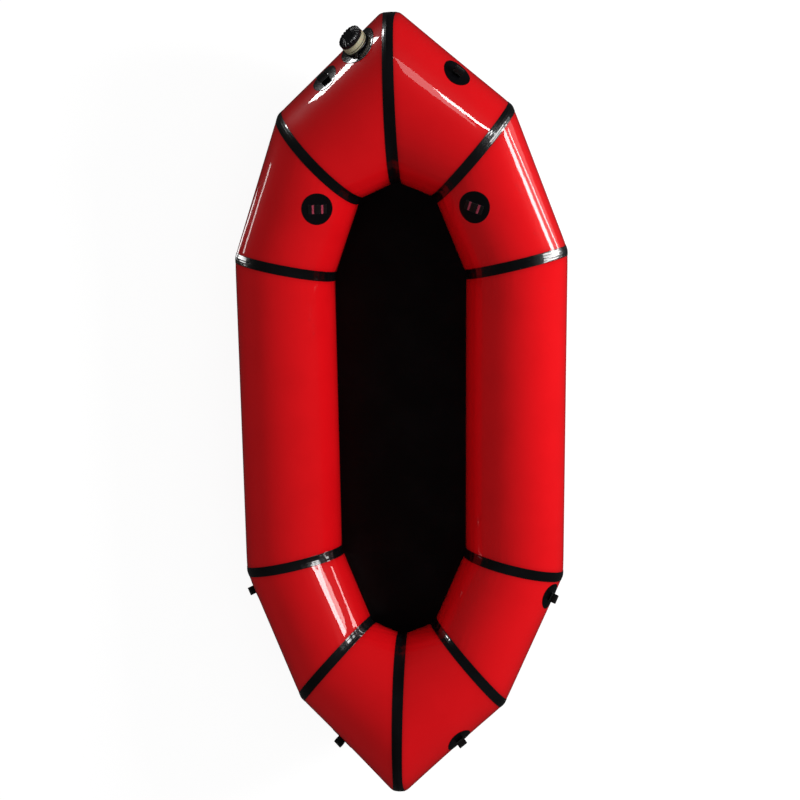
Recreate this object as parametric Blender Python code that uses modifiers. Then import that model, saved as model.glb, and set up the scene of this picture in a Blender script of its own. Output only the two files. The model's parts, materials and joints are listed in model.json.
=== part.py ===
"""One-person packraft: a closed ring of ten inflated tube panels joined by seam tapes, a floor sheet
under it, webbing loops and lash straps on round patches, and a two-stage inflation valve on the left bow.

Metres, +Z up, +Y towards the bow, +X to starboard. The floor's underside lies on Z = 0."""

from math import asin, cos, pi, radians, sin

import bmesh
import bpy
from mathutils import Matrix, Vector
from mathutils.bvhtree import BVHTree

# Tube: its radius is measured in the plane of each mitre, and the sections have this many flat sides
TUBE_RADIUS = 0.148
SECTION_SIDES = 28
FABRIC_THICKNESS = 0.0004
PANEL_END_GAP = 0.0005
MIDDLE_RING_COUNT = {"bow": 2, "shoulder": 1, "side": 0, "quarter": 1, "stern": 2}

# Mitre sections: centre, half length in plan, direction of that length, and lean of the top towards amidships
BOW_Y = 0.9135
BOW_RISE = 0.126
BOW_HALF = 0.231
BOW_PITCH_DEG = 18
SHOULDER_X = 0.220
SHOULDER_Y = 0.767
SHOULDER_RISE = 0.073
SHOULDER_HALF = 0.165
SHOULDER_ANGLE_DEG = 49
SHOULDER_LEAN_DEG = 13
SIDE_HALF = 0.1525
SIDE_LEAN_DEG = 7
FRONT_X = 0.3485
FRONT_Y = 0.461
FRONT_ANGLE_DEG = 12.5
REAR_X = 0.344
REAR_Y = -0.457
REAR_ANGLE_DEG = -12.5
QUARTER_X = 0.204
QUARTER_Y = -0.753
QUARTER_RISE = 0.062
QUARTER_HALF = 0.159
QUARTER_ANGLE_DEG = -49
QUARTER_LEAN_DEG = 12
STERN_Y = -0.888
STERN_RISE = 0.127
STERN_HALF = 0.230
STERN_PITCH_DEG = 26

# Blunt noses: how far from the bow and stern mitres the tube's outer side turns flat across, and how
# many flat sides of the section it takes, above and below, to come back to a full mitre
NOSE_REACHES = {"bow": 0.032, "stern": 0.026}
NOSE_SPREAD_SIDES = 3

# Tapes and floor sheet
CLEARANCE = 0.0003
WELD_DISTANCE = 0.00001
TAPE_WIDTHS = {
    "bow": 0.035,
    "shoulder": 0.031,
    "front": 0.030,
    "rear": 0.030,
    "quarter": 0.031,
    "stern": 0.034,
}
TAPE_THICKNESS = 0.0005
FLOOR_THICKNESS = 0.0008
FLOOR_WRAP_SIDES = 3
EDGE_TAPE_WIDTH = 0.028

# Patches, lash straps and bar tacks
LASH_PATCH_RADIUS = 0.044
TIE_PATCH_RADIUS = 0.040
PATCH_THICKNESS = 0.0007
PATCH_CORNERS = 32
WEBBING_WIDTH = 0.025
WEBBING_THICKNESS = 0.0015
LASH_STRAP_LENGTH = 0.052
TACK_LENGTH = 0.022
TACK_WIDTH = 0.005
TACK_THICKNESS = 0.0006
TACK_SPACING = 0.024
CUTTER_DEPTH = 0.030

# Webbing loops: a teardrop band, round at its base
LOOP_RADIUS = 0.0095
LOOP_REACH = 0.0135
LOOP_BASE_RADIUS = 0.0018
LOOP_ARC_STEPS = 10
LOOP_BASE_STEPS = 5

# Where the fittings sit: share of the panel's length, and angle up round the tube from its outer side.
# A loop's lean is how far it rests from standing straight up off the tube, towards the tube's top.
LASH_PLACE_SHARES = {"left": 0.315, "right": 0.352}
LASH_TURNS_DEG = {"left": 121.5, "right": 118.6}
LASH_TWISTS_DEG = {"left": 15, "right": -38}
TIE_SHARES = {"bow": 0.556, "quarter": 0.15, "stern": 0.43}
TIE_TURNS_DEG = {
    "bow": {"left": 37, "right": 37},
    "quarter": {"left": 5, "right": 33},
    "stern": {"left": 8, "right": 28},
}
TIE_LEANS_DEG = {
    "bow": {"left": 48, "right": 40},
    "quarter": {"left": 0, "right": 18},
    "stern": {"left": 0, "right": 32},
}
VALVE_SHARE = 0.262
VALVE_TURN_DEG = 32

# Valve, with heights along its axis from the skin
VALVE_PATCH_RADIUS = 0.055
FLANGE_RADIUS = 0.0350
FLANGE_DEPTH = 0.0110
FLANGE_THICKNESS = 0.0015
NECK_RADIUS = 0.0250
NECK_BORE_RADIUS = 0.0220
TAB_RING_RADIUS = 0.0370
TAB_RING_HEIGHT = 0.0022
TAB_RING_THICKNESS = 0.0026
TAB_LENGTH = 0.014
TAB_WIDTH = 0.009
TAB_TURN_DEG = 77
TAB_DROOP_DEG = 9
COLLAR_RADIUS = 0.0340
COLLAR_THICKNESS = 0.0040
GASKET_RADIUS = 0.0330
GASKET_THICKNESS = 0.0012
NECK_ENGAGEMENT = 0.0060
RING_RADIUS = 0.0345
RING_EDGE = 0.0010
WEB_GAP = 0.0010
WEB_THICKNESS = 0.0050
MOUTH_BORE_RADIUS = 0.0200
MOUTH_RADIUS = 0.0240
MOUTH_HEIGHT = 0.0100
SPOKE_WIDTH = 0.0030
SPOKE_COUNT = 4
JOINING_INSET = 0.0002
HUB_RADIUS = 0.0040
STEM_RADIUS = 0.0015
STEM_HEAD_RADIUS = 0.0028
STEM_HEAD_HEIGHT = 0.0010
FLAP_RADIUS = 0.0208
FLAP_THICKNESS = 0.0008
FLAP_TRAVEL = 0.0030
CAP_RADIUS = 0.0320
CAP_TOP_THICKNESS = 0.0060
CAP_DOME_HEIGHT = 0.0100
CAP_DOME_STEPS = 5
CAP_RIB_COUNT = 20
CAP_RIB_RADIUS = 0.0019
THREAD_CLEARANCE = 0.0004
TURNED_STEPS = 24
RIB_STEPS = 8
SMOOTH_ANGLE_DEG = 40

SECTION_STEP = 2 * pi / SECTION_SIDES
BOTTOM_INDEX = 3 * SECTION_SIDES // 4
FLOOR_LIFT = CLEARANCE + TAPE_THICKNESS + CLEARANCE
PATCH_TOP = CLEARANCE + PATCH_THICKNESS
SIDES = {"left": -1, "right": 1}
PANELS = {
    "bow": ("bow", "shoulder"),
    "shoulder": ("shoulder", "front"),
    "side": ("front", "rear"),
    "quarter": ("rear", "quarter"),
    "stern": ("quarter", "stern"),
}


def clear_scene():
    for obj in list(bpy.data.objects):
        bpy.data.objects.remove(obj)


def make_collection(name):
    collection = bpy.data.collections.new(name)
    bpy.context.scene.collection.children.link(collection)
    return collection


clear_scene()
RAFT = make_collection("packraft")
CUTTERS = make_collection("cutters")


def make_material(name, colour, roughness):
    material = bpy.data.materials.new(name)
    material.use_nodes = True
    shader = material.node_tree.nodes["Principled BSDF"]
    shader.inputs["Base Color"].default_value = (*colour, 1)
    shader.inputs["Roughness"].default_value = roughness
    shader.inputs["Metallic"].default_value = 0
    return material


RED_FABRIC = make_material("red coated fabric", (0.62, 0.012, 0.02), 0.22)
BLACK_TAPE = make_material("black seam tape", (0.006, 0.006, 0.007), 0.3)
BLACK_FLOOR = make_material("black floor fabric", (0.008, 0.008, 0.009), 0.4)
BLACK_WEBBING = make_material("black webbing", (0.01, 0.01, 0.01), 0.8)
RED_THREAD = make_material("red thread", (0.55, 0.02, 0.05), 0.7)
IVORY_PLASTIC = make_material("ivory plastic", (0.62, 0.58, 0.42), 0.4)
BLACK_PLASTIC = make_material("black plastic", (0.012, 0.012, 0.013), 0.45)
GASKET_RUBBER = make_material("gasket rubber", (0.02, 0.02, 0.02), 0.7)


def ring_frame(station, side):
    """Centre, outward axis, upward axis and half length of a mitre section."""
    if station in ("bow", "stern"):
        y, rise, half, pitch, ahead = {
            "bow": (BOW_Y, BOW_RISE, BOW_HALF, BOW_PITCH_DEG, 1),
            "stern": (STERN_Y, STERN_RISE, STERN_HALF, STERN_PITCH_DEG, -1),
        }[station]
        pitch = radians(pitch)
        outward = Vector((0, ahead * cos(pitch), sin(pitch)))
        upward = Vector((0, -ahead * sin(pitch), cos(pitch)))
        return Vector((0, y, rise)), outward, upward, half
    x, y, rise, half, angle, lean = {
        "shoulder": (
            SHOULDER_X, SHOULDER_Y, SHOULDER_RISE, SHOULDER_HALF, SHOULDER_ANGLE_DEG, SHOULDER_LEAN_DEG,
        ),
        "front": (FRONT_X, FRONT_Y, 0, SIDE_HALF, FRONT_ANGLE_DEG, SIDE_LEAN_DEG),
        "rear": (REAR_X, REAR_Y, 0, SIDE_HALF, REAR_ANGLE_DEG, SIDE_LEAN_DEG),
        "quarter": (
            QUARTER_X, QUARTER_Y, QUARTER_RISE, QUARTER_HALF, QUARTER_ANGLE_DEG, QUARTER_LEAN_DEG,
        ),
    }[station]
    angle, lean = radians(angle), radians(lean)
    outward = Vector((side * cos(angle), sin(angle), 0))
    amidships = Vector((side * sin(angle), -cos(angle), 0))
    if y < 0:
        amidships = -amidships
    upward = cos(lean) * Vector((0, 0, 1)) + sin(lean) * amidships
    return Vector((side * x, y, rise)), outward, upward, half


# Height of the side tubes' centre line over the ground. The shift along the hull is set further down.
CENTRE_HEIGHT = (TUBE_RADIUS + FLOOR_LIFT) * cos(radians(SIDE_LEAN_DEG)) + FLOOR_THICKNESS
ORIGIN_SHIFT = Vector((0, 0, CENTRE_HEIGHT))


def ring_point(station, side, turn, lift):
    """A point of a mitre section, moved out in the section's own plane by lift."""
    centre, outward, upward, half = ring_frame(station, side)
    normal = Vector((cos(turn) / half, sin(turn) / TUBE_RADIUS)).normalized()
    along = half * cos(turn) + lift * normal.x
    up = TUBE_RADIUS * sin(turn) + lift * normal.y
    return centre + outward * along + upward * up + ORIGIN_SHIFT


def generators(panel, side, lift):
    """The straight lines of a panel's skin, as pairs of end points on its two mitre sections."""
    first, last = PANELS[panel]
    turns = [step * SECTION_STEP for step in range(SECTION_SIDES)]
    return [(ring_point(first, side, turn, lift), ring_point(last, side, turn, lift)) for turn in turns]


def cut_at(lines, share):
    return [first.lerp(last, share) for first, last in lines]


def cut_off(lines, distance):
    """Points at a distance from the first end of each line."""
    return [first + (last - first).normalized() * distance for first, last in lines]


def end_lines(panel, side, station, lift):
    """A panel's lines as they leave one of its mitres. At the bow and the stern they stop at the nose's
    edge, and leave from a mitre that is cut back on its outer side, so that the nose is flat there."""
    lines = generators(panel, side, lift)
    if station == PANELS[panel][1]:
        lines = [(last, first) for first, last in lines]
    if station not in NOSE_REACHES:
        return lines
    blunted = []
    for index, (tip, edge) in enumerate(zip(cut_at(lines, 0), cut_off(lines, NOSE_REACHES[station]))):
        sides_off = min(index, SECTION_SIDES - index, NOSE_SPREAD_SIDES)
        blunt_share = cos(pi / 2 * sides_off / NOSE_SPREAD_SIDES) ** 2
        blunted.append((tip.lerp(Vector((0, edge.y, edge.z)), blunt_share), edge))
    return blunted


def nose_reaches():
    """How far ahead and astern the bow and stern noses reach."""
    bow = cut_at(end_lines("bow", SIDES["right"], "bow", 0), 0)
    stern = cut_at(end_lines("stern", SIDES["right"], "stern", 0), 0)
    return max(point.y for point in bow), min(point.y for point in stern)


# Puts the origin amidships
ORIGIN_SHIFT.y = -sum(nose_reaches()) / 2


def end_rings(panel, side, station, lift, end_gap):
    """Rings of points from one end of a panel: the end, the tape's edge, and the nose's if it has one."""
    lines = end_lines(panel, side, station, lift)
    rings = [cut_off(lines, end_gap), cut_off(lines, TAPE_WIDTHS[station] / 2)]
    return rings + [cut_at(lines, 1)] if station in NOSE_REACHES else rings


def panel_rings(panel, side, lift, end_gap):
    """Rings of points along a panel, from its fore end to its aft end."""
    first, last = PANELS[panel]
    lines = generators(panel, side, lift)
    count = MIDDLE_RING_COUNT[panel]
    middle = [cut_at(lines, (index + 1) / (count + 1)) for index in range(count)]
    fore = end_rings(panel, side, first, lift, end_gap)
    aft = end_rings(panel, side, last, lift, end_gap)
    return [*fore, *middle, *reversed(aft)]


def new_object(name, mesh, collection, material=None):
    obj = bpy.data.objects.new(name, mesh)
    collection.objects.link(obj)
    if material:
        mesh.materials.append(material)
    return obj


def lofted_mesh(name, rows, close_columns=True):
    """A sheet through rows of points. Each cell is split along the same diagonal, so that skins nest."""
    mesh_data = bmesh.new()
    grid = [[mesh_data.verts.new(point) for point in row] for row in rows]
    for low, high in zip(grid, grid[1:]):
        columns = len(low) if close_columns else len(low) - 1
        for index in range(columns):
            after = (index + 1) % len(low)
            mesh_data.faces.new((low[index], low[after], high[after]))
            mesh_data.faces.new((low[index], high[after], high[index]))
    bmesh.ops.remove_doubles(mesh_data, verts=mesh_data.verts, dist=WELD_DISTANCE)
    mesh = bpy.data.meshes.new(name)
    mesh_data.to_mesh(mesh)
    mesh_data.free()
    return mesh


def face_away_from(mesh, inside):
    """Turns an open sheet's faces so that they point away from a place inside the tube."""
    face = mesh.polygons[0]
    if face.normal.dot(face.center - inside) < 0:
        mesh.flip_normals()
    return mesh


def skin_mesh(name, panel, side, lift):
    """A panel's skin as an open sheet that faces out, lifted off the fabric by lift."""
    rings = panel_rings(panel, side, lift, PANEL_END_GAP)
    centre = sum(rings[0], Vector()) / len(rings[0])
    return face_away_from(lofted_mesh(name, rings), centre)


def add_thickness(obj, thickness, outwards=True):
    modifier = obj.modifiers.new("thickness", "SOLIDIFY")
    modifier.thickness = thickness
    modifier.offset = 1 if outwards else -1
    modifier.use_even_offset = True
    modifier.use_quality_normals = True
    return modifier


def add_boolean(obj, cutter, operation):
    modifier = obj.modifiers.new(operation.lower(), "BOOLEAN")
    modifier.operation = operation
    modifier.object = cutter
    return modifier


def smooth(obj):
    obj.data.shade_smooth()
    obj.data.set_sharp_from_angle(angle=radians(SMOOTH_ANGLE_DEG))
    return obj


def tube_panel(panel, side_name):
    """One shell of coated fabric, open at both mitres, with its thickness inside the skin."""
    name = f"{panel}_panel_{side_name}"
    shell = new_object(name, skin_mesh(name, panel, SIDES[side_name], 0), RAFT, RED_FABRIC)
    add_thickness(shell, FABRIC_THICKNESS, outwards=False)
    return smooth(shell)


def seam_tape(before, after, side_name):
    """A band over one mitre: half on the panel before it and half on the panel after it."""
    station = PANELS[after][0]
    name = f"seam_tape_{station}_{side_name}"
    lines_before = end_lines(before, SIDES[side_name], station, CLEARANCE)
    lines_after = end_lines(after, SIDES[side_name], station, CLEARANCE)
    reach = TAPE_WIDTHS[station] / 2
    middle = cut_at(lines_after, 0)
    rows = [cut_off(lines_before, reach), middle, cut_off(lines_after, reach)]
    mesh = face_away_from(lofted_mesh(name, rows), sum(middle, Vector()) / len(middle))
    tape = new_object(name, mesh, RAFT, BLACK_TAPE)
    add_thickness(tape, TAPE_THICKNESS)
    return smooth(tape)


def mirrored_sheet(name, rows, inside, thickness, material, close_columns=False):
    """A sheet across the centre plane, modelled as its starboard half, open on that plane."""
    mesh = face_away_from(lofted_mesh(name, rows, close_columns=close_columns), inside)
    sheet = new_object(name, mesh, RAFT, material)
    mirror = sheet.modifiers.new("port half", "MIRROR")
    mirror.merge_threshold = WELD_DISTANCE
    add_thickness(sheet, thickness)
    return smooth(sheet)


def end_tape(station, panel):
    """The band over the bow or the stern mitre, which one panel meets from each side."""
    lines = end_lines(panel, SIDES["right"], station, CLEARANCE)
    rows = [cut_at(lines, 0), cut_off(lines, TAPE_WIDTHS[station] / 2)]
    centre = sum(rows[0], Vector()) / len(rows[0])
    if station == PANELS[panel][1]:
        rows.reverse()
    return mirrored_sheet(f"seam_tape_{station}", rows, centre, TAPE_THICKNESS, BLACK_TAPE, True)


def underside_rows(lift):
    """Starboard points of the tube's underside from bow to stern: a row for each ring, bottom outwards."""
    rows = []
    for panel in PANELS:
        rings = panel_rings(panel, SIDES["right"], lift, 0)
        rows += rings if panel == "stern" else rings[:-1]
    indices = [(BOTTOM_INDEX + step) % SECTION_SIDES for step in range(FLOOR_WRAP_SIDES + 2)]
    return [[row[index] for index in indices] for row in rows]


def floor_sheet():
    """A taut sheet between the tubes' lowest lines, which wraps up round their outer side."""
    rows = [row[: FLOOR_WRAP_SIDES + 1] for row in underside_rows(FLOOR_LIFT)]
    rows = [[Vector((0, row[0].y, row[0].z)), *row] for row in rows]
    return mirrored_sheet("floor_sheet", rows, ORIGIN_SHIFT, FLOOR_THICKNESS, BLACK_FLOOR)


def floor_edge_tape():
    """A closed band on the tube along the edge of the floor sheet."""
    rows = []
    for row in underside_rows(FLOOR_LIFT):
        edge, beyond = row[FLOOR_WRAP_SIDES : FLOOR_WRAP_SIDES + 2]
        across = (beyond - edge).normalized()
        rows.append([edge + across * CLEARANCE, edge + across * (CLEARANCE + EDGE_TAPE_WIDTH)])
    return mirrored_sheet("floor_edge_tape", rows, ORIGIN_SHIFT, TAPE_THICKNESS, BLACK_TAPE)


def skin_frame(panel, side, share, turn, on_facet=True):
    """Local frame on a panel's flat-sided skin: X along the tube, Z outwards, mid-facet if asked."""
    lines = generators(panel, side, 0)
    position = turn / SECTION_STEP
    index = int(position)
    part = 1 / 2 if on_facet else position - index
    near, far = lines[index % SECTION_SIDES], lines[(index + 1) % SECTION_SIDES]
    low, high = near[0].lerp(near[1], share), far[0].lerp(far[1], share)
    along = (near[1].lerp(far[1], part) - near[0].lerp(far[0], part)).normalized()
    out = along.cross(high - low).normalized()
    first, last = (ring_frame(station, side)[0] for station in PANELS[panel])
    middle = first.lerp(last, share) + ORIGIN_SHIFT
    place = low.lerp(high, part)
    if out.dot(place - middle) < 0:
        out = -out
    frame = Matrix((along, out.cross(along), out)).transposed().to_4x4()
    mesh_data = bmesh.new()
    skin = skin_mesh("skin to sit on", panel, side, 0)
    mesh_data.from_mesh(skin)
    frame.translation = BVHTree.FromBMesh(mesh_data).find_nearest(place)[0]
    mesh_data.free()
    bpy.data.meshes.remove(skin)
    return frame


def as_cutter(obj):
    for collection in list(obj.users_collection):
        collection.objects.unlink(obj)
    CUTTERS.objects.link(obj)
    obj.hide_render = True
    obj.display_type = "WIRE"
    return obj


def round_cutter(name, frame, radius, depth=CUTTER_DEPTH, corners=PATCH_CORNERS):
    bpy.ops.mesh.primitive_cylinder_add(vertices=corners, radius=radius, depth=depth)
    cutter = bpy.context.object
    cutter.name = name
    cutter.matrix_world = frame
    return as_cutter(cutter)


def box_cutter(name, frame, length, width, depth=CUTTER_DEPTH):
    bpy.ops.mesh.primitive_cube_add(size=1)
    cutter = bpy.context.object
    cutter.name = name
    cutter.data.transform(Matrix.Diagonal((length, width, depth, 1)))
    cutter.matrix_world = frame
    return as_cutter(cutter)


def skin_piece(name, panel, side, lift, thickness, cutter, material):
    """A piece that hugs a panel: the panel's skin, lifted and thickened, kept inside the cutter."""
    piece = new_object(name, skin_mesh(name, panel, side, lift), RAFT, material)
    add_thickness(piece, thickness)
    add_boolean(piece, cutter, "INTERSECT")
    return piece


def lash_point(side_name):
    """A round patch with a flat webbing strip held by two bar tacks."""
    side = SIDES[side_name]
    turn = radians(LASH_TURNS_DEG[side_name])
    frame = skin_frame("shoulder", side, LASH_PLACE_SHARES[side_name], turn, on_facet=False)
    frame = frame @ Matrix.Rotation(radians(LASH_TWISTS_DEG[side_name]), 4, "Z")
    disc = round_cutter(f"lash_patch_{side_name}_outline", frame, LASH_PATCH_RADIUS)
    skin_piece(f"lash_patch_{side_name}", "shoulder", side, CLEARANCE, PATCH_THICKNESS, disc, BLACK_TAPE)
    strap_lift = PATCH_TOP + CLEARANCE
    outline = box_cutter(f"lash_strap_{side_name}_outline", frame, WEBBING_WIDTH, LASH_STRAP_LENGTH)
    skin_piece(
        f"lash_strap_{side_name}", "shoulder", side, strap_lift, WEBBING_THICKNESS, outline, BLACK_WEBBING
    )
    tack_lift = strap_lift + WEBBING_THICKNESS + CLEARANCE
    for end, across in (("outer", -TACK_SPACING / 2), ("inner", TACK_SPACING / 2)):
        place = frame @ Matrix.Translation((0, across, 0))
        bar = box_cutter(f"bar_tack_{side_name}_{end}_outline", place, TACK_LENGTH, TACK_WIDTH)
        skin_piece(
            f"bar_tack_{side_name}_{end}", "shoulder", side, tack_lift, TACK_THICKNESS, bar, RED_THREAD
        )


def arc_points(centre_y, radius, start, stop, steps):
    turns = [start + (stop - start) * step / steps for step in range(steps + 1)]
    return [(radius * cos(turn), centre_y + radius * sin(turn)) for turn in turns]


def add_outline(curve, points):
    spline = curve.splines.new("POLY")
    spline.points.add(len(points) - 1)
    for point, (x, y) in zip(spline.points, points):
        point.co = (x, y, 0, 1)
    spline.use_cyclic_u = True


def loop_curve(name):
    """The teardrop band's outline and hole, in the plane across the loop, with the hinge at its origin."""
    curve = bpy.data.curves.new(name, "CURVE")
    curve.dimensions = "2D"
    curve.fill_mode = "BOTH"
    curve.extrude = WEBBING_WIDTH / 2
    lean = asin((LOOP_RADIUS - LOOP_BASE_RADIUS) / LOOP_REACH)
    outer = arc_points(LOOP_REACH, LOOP_RADIUS, -lean, pi + lean, LOOP_ARC_STEPS)
    outer += arc_points(0, LOOP_BASE_RADIUS, pi + lean, 2 * pi - lean, LOOP_BASE_STEPS)
    hole_radius = LOOP_RADIUS - WEBBING_THICKNESS
    hole = arc_points(LOOP_REACH, hole_radius, -lean, pi + lean, LOOP_ARC_STEPS)
    hole.append((0, LOOP_REACH - hole_radius / sin(lean)))
    add_outline(curve, outer)
    add_outline(curve, hole)
    return curve


def tie_point(panel, side_name):
    """A round patch with a webbing loop on it, hinged at its base line along the tube."""
    side = SIDES[side_name]
    turn = radians(TIE_TURNS_DEG[panel][side_name])
    frame = skin_frame(panel, side, TIE_SHARES[panel], turn, on_facet=False)
    disc = round_cutter(f"tie_patch_{panel}_{side_name}_outline", frame, TIE_PATCH_RADIUS)
    name = f"tie_patch_{panel}_{side_name}"
    skin_piece(name, panel, side, CLEARANCE, PATCH_THICKNESS, disc, BLACK_TAPE)
    axis_height = PATCH_TOP + CLEARANCE + LOOP_BASE_RADIUS
    name = f"tie_loop_{panel}_{side_name}"
    loop = bpy.data.objects.new(name, loop_curve(name))
    RAFT.objects.link(loop)
    loop.data.materials.append(BLACK_WEBBING)
    # The outline's X runs across the tube, its Y out of the skin and its thickness along the tube
    stand = Matrix(((0, 0, 1, 0), (1, 0, 0, 0), (0, 1, 0, 0), (0, 0, 0, 1)))
    lean = radians(TIE_LEANS_DEG[panel][side_name])
    lean = Matrix.Rotation(-lean if frame.col[1].z > 0 else lean, 4, "X")
    loop.matrix_world = frame @ Matrix.Translation((0, 0, axis_height)) @ lean @ stand
    weld = loop.modifiers.new("caps", "WELD")
    weld.merge_threshold = WELD_DISTANCE
    return loop


def turned(name, profile, frame, material, closed=True):
    """A turned piece from a profile of (radius, height) points, down its outer side and up its inner one."""
    mesh_data = bmesh.new()
    verts = [mesh_data.verts.new((radius, 0, height)) for radius, height in profile]
    pairs = zip(verts, verts[1:] + verts[:1]) if closed else zip(verts, verts[1:])
    for first, last in pairs:
        mesh_data.edges.new((first, last))
    mesh = bpy.data.meshes.new(name)
    mesh_data.to_mesh(mesh)
    mesh_data.free()
    obj = new_object(name, mesh, RAFT, material)
    obj.matrix_world = frame
    screw = obj.modifiers.new("turn", "SCREW")
    screw.steps = TURNED_STEPS
    screw.render_steps = TURNED_STEPS
    screw.use_merge_vertices = True
    screw.merge_threshold = WELD_DISTANCE
    screw.use_smooth_shade = False
    return obj


def valve():
    """The two-stage valve: base, middle ring with its mouth and flap, and cap, on one axis."""
    side = SIDES["left"]
    frame = skin_frame("bow", side, VALVE_SHARE, radians(VALVE_TURN_DEG), on_facet=False)
    hole_radius = NECK_RADIUS + CLEARANCE
    disc = round_cutter("valve_patch_outline", frame, VALVE_PATCH_RADIUS)
    hole = round_cutter("valve_hole", frame, hole_radius, corners=TURNED_STEPS)
    patch = skin_piece("valve_patch", "bow", side, CLEARANCE, PATCH_THICKNESS, disc, BLACK_TAPE)
    add_boolean(patch, hole, "DIFFERENCE")
    add_boolean(bpy.data.objects["bow_panel_left"], hole, "DIFFERENCE")

    collar_foot = TAB_RING_HEIGHT + TAB_RING_THICKNESS + CLEARANCE
    collar_top = collar_foot + COLLAR_THICKNESS
    gasket_foot = collar_top + CLEARANCE
    gasket_top = gasket_foot + GASKET_THICKNESS
    ring_foot = gasket_top + CLEARANCE
    neck_top = ring_foot + NECK_ENGAGEMENT
    flange_foot = -FLANGE_DEPTH - FLANGE_THICKNESS
    base = [
        (NECK_RADIUS, neck_top),
        (NECK_RADIUS, collar_top),
        (COLLAR_RADIUS, collar_top),
        (COLLAR_RADIUS, collar_foot),
        (NECK_RADIUS, collar_foot),
        (NECK_RADIUS, -FLANGE_DEPTH),
        (FLANGE_RADIUS, -FLANGE_DEPTH),
        (FLANGE_RADIUS, flange_foot),
        (NECK_BORE_RADIUS, flange_foot),
        (NECK_BORE_RADIUS, neck_top),
    ]
    turned("valve_base", base, frame, IVORY_PLASTIC)
    tab_ring(frame)
    thread_bore = NECK_RADIUS + THREAD_CLEARANCE
    washer("ring_gasket", GASKET_RADIUS, thread_bore, gasket_foot, gasket_top, frame)

    web_foot = neck_top + WEB_GAP
    web_top = web_foot + WEB_THICKNESS
    mouth_top = web_top + MOUTH_HEIGHT
    middle = [
        (MOUTH_RADIUS, mouth_top),
        (MOUTH_RADIUS, web_top),
        (RING_RADIUS - RING_EDGE, web_top),
        (RING_RADIUS, web_top - RING_EDGE),
        (RING_RADIUS, ring_foot + RING_EDGE),
        (RING_RADIUS - RING_EDGE, ring_foot),
        (thread_bore, ring_foot),
        (thread_bore, web_foot),
        (MOUTH_BORE_RADIUS, web_foot),
        (MOUTH_BORE_RADIUS, mouth_top),
    ]
    ring = turned("valve_ring", middle, frame, IVORY_PLASTIC)
    add_spokes(ring, frame, web_foot, web_top)
    flap(frame, web_foot, web_top)

    cap_gasket_foot = mouth_top + CLEARANCE
    cap_gasket_top = cap_gasket_foot + GASKET_THICKNESS
    washer("cap_gasket", MOUTH_RADIUS, MOUTH_BORE_RADIUS, cap_gasket_foot, cap_gasket_top, frame)
    cap(frame, web_top + CLEARANCE, cap_gasket_top + CLEARANCE)


def washer(name, outer, inner, foot, top, frame, material=GASKET_RUBBER):
    return turned(name, [(outer, top), (outer, foot), (inner, foot), (inner, top)], frame, material)


def tab_ring(frame):
    """A moulded ring held under the collar, with a pull tab that droops towards the skin inboard of it."""
    top = TAB_RING_HEIGHT + TAB_RING_THICKNESS
    bore = NECK_RADIUS + THREAD_CLEARANCE
    ring = washer("valve_tab_ring", TAB_RING_RADIUS, bore, TAB_RING_HEIGHT, top, frame, BLACK_PLASTIC)
    root = (bore + TAB_RING_RADIUS) / 2
    length = TAB_RING_RADIUS + TAB_LENGTH - root
    place = frame @ Matrix.Rotation(radians(TAB_TURN_DEG), 4, "Z")
    place = place @ Matrix.Translation((root, 0, TAB_RING_HEIGHT + TAB_RING_THICKNESS / 2))
    place = place @ Matrix.Rotation(radians(TAB_DROOP_DEG), 4, "Y") @ Matrix.Translation((length / 2, 0, 0))
    tab = box_cutter("valve_tab", place, length, TAB_WIDTH, TAB_RING_THICKNESS - 2 * JOINING_INSET)
    add_boolean(ring, tab, "UNION")


def add_spokes(ring, frame, foot, top):
    """Spokes across the mouth, which carry the hub that guides the flap's stem."""
    centre = frame @ Matrix.Translation((0, 0, (foot + top) / 2))
    depth = top - foot
    hub = round_cutter("hub", centre, HUB_RADIUS, depth - 2 * JOINING_INSET)
    add_boolean(ring, hub, "UNION")
    for index in range(SPOKE_COUNT // 2):
        place = centre @ Matrix.Rotation(2 * pi * index / SPOKE_COUNT, 4, "Z")
        length = MOUTH_BORE_RADIUS + MOUTH_RADIUS
        spoke = box_cutter(f"spoke_{index}", place, length, SPOKE_WIDTH, depth - 4 * JOINING_INSET)
        add_boolean(ring, spoke, "UNION")
    bore = round_cutter("stem_bore", centre, STEM_RADIUS + CLEARANCE)
    add_boolean(ring, bore, "DIFFERENCE")


def flap(frame, seat, web_top):
    """A silicone disc under the spokes on a stem, whose head clears the hub by the flap's travel."""
    top = seat - CLEARANCE
    foot = top - FLAP_THICKNESS
    neck = web_top + FLAP_TRAVEL + CLEARANCE
    profile = [
        (0, neck + STEM_HEAD_HEIGHT),
        (STEM_HEAD_RADIUS, neck + STEM_HEAD_HEIGHT),
        (STEM_HEAD_RADIUS, neck),
        (STEM_RADIUS, neck),
        (STEM_RADIUS, top),
        (FLAP_RADIUS, top),
        (FLAP_RADIUS, foot),
        (0, foot),
    ]
    turned("valve_flap", profile, frame, GASKET_RUBBER, closed=False)


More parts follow.
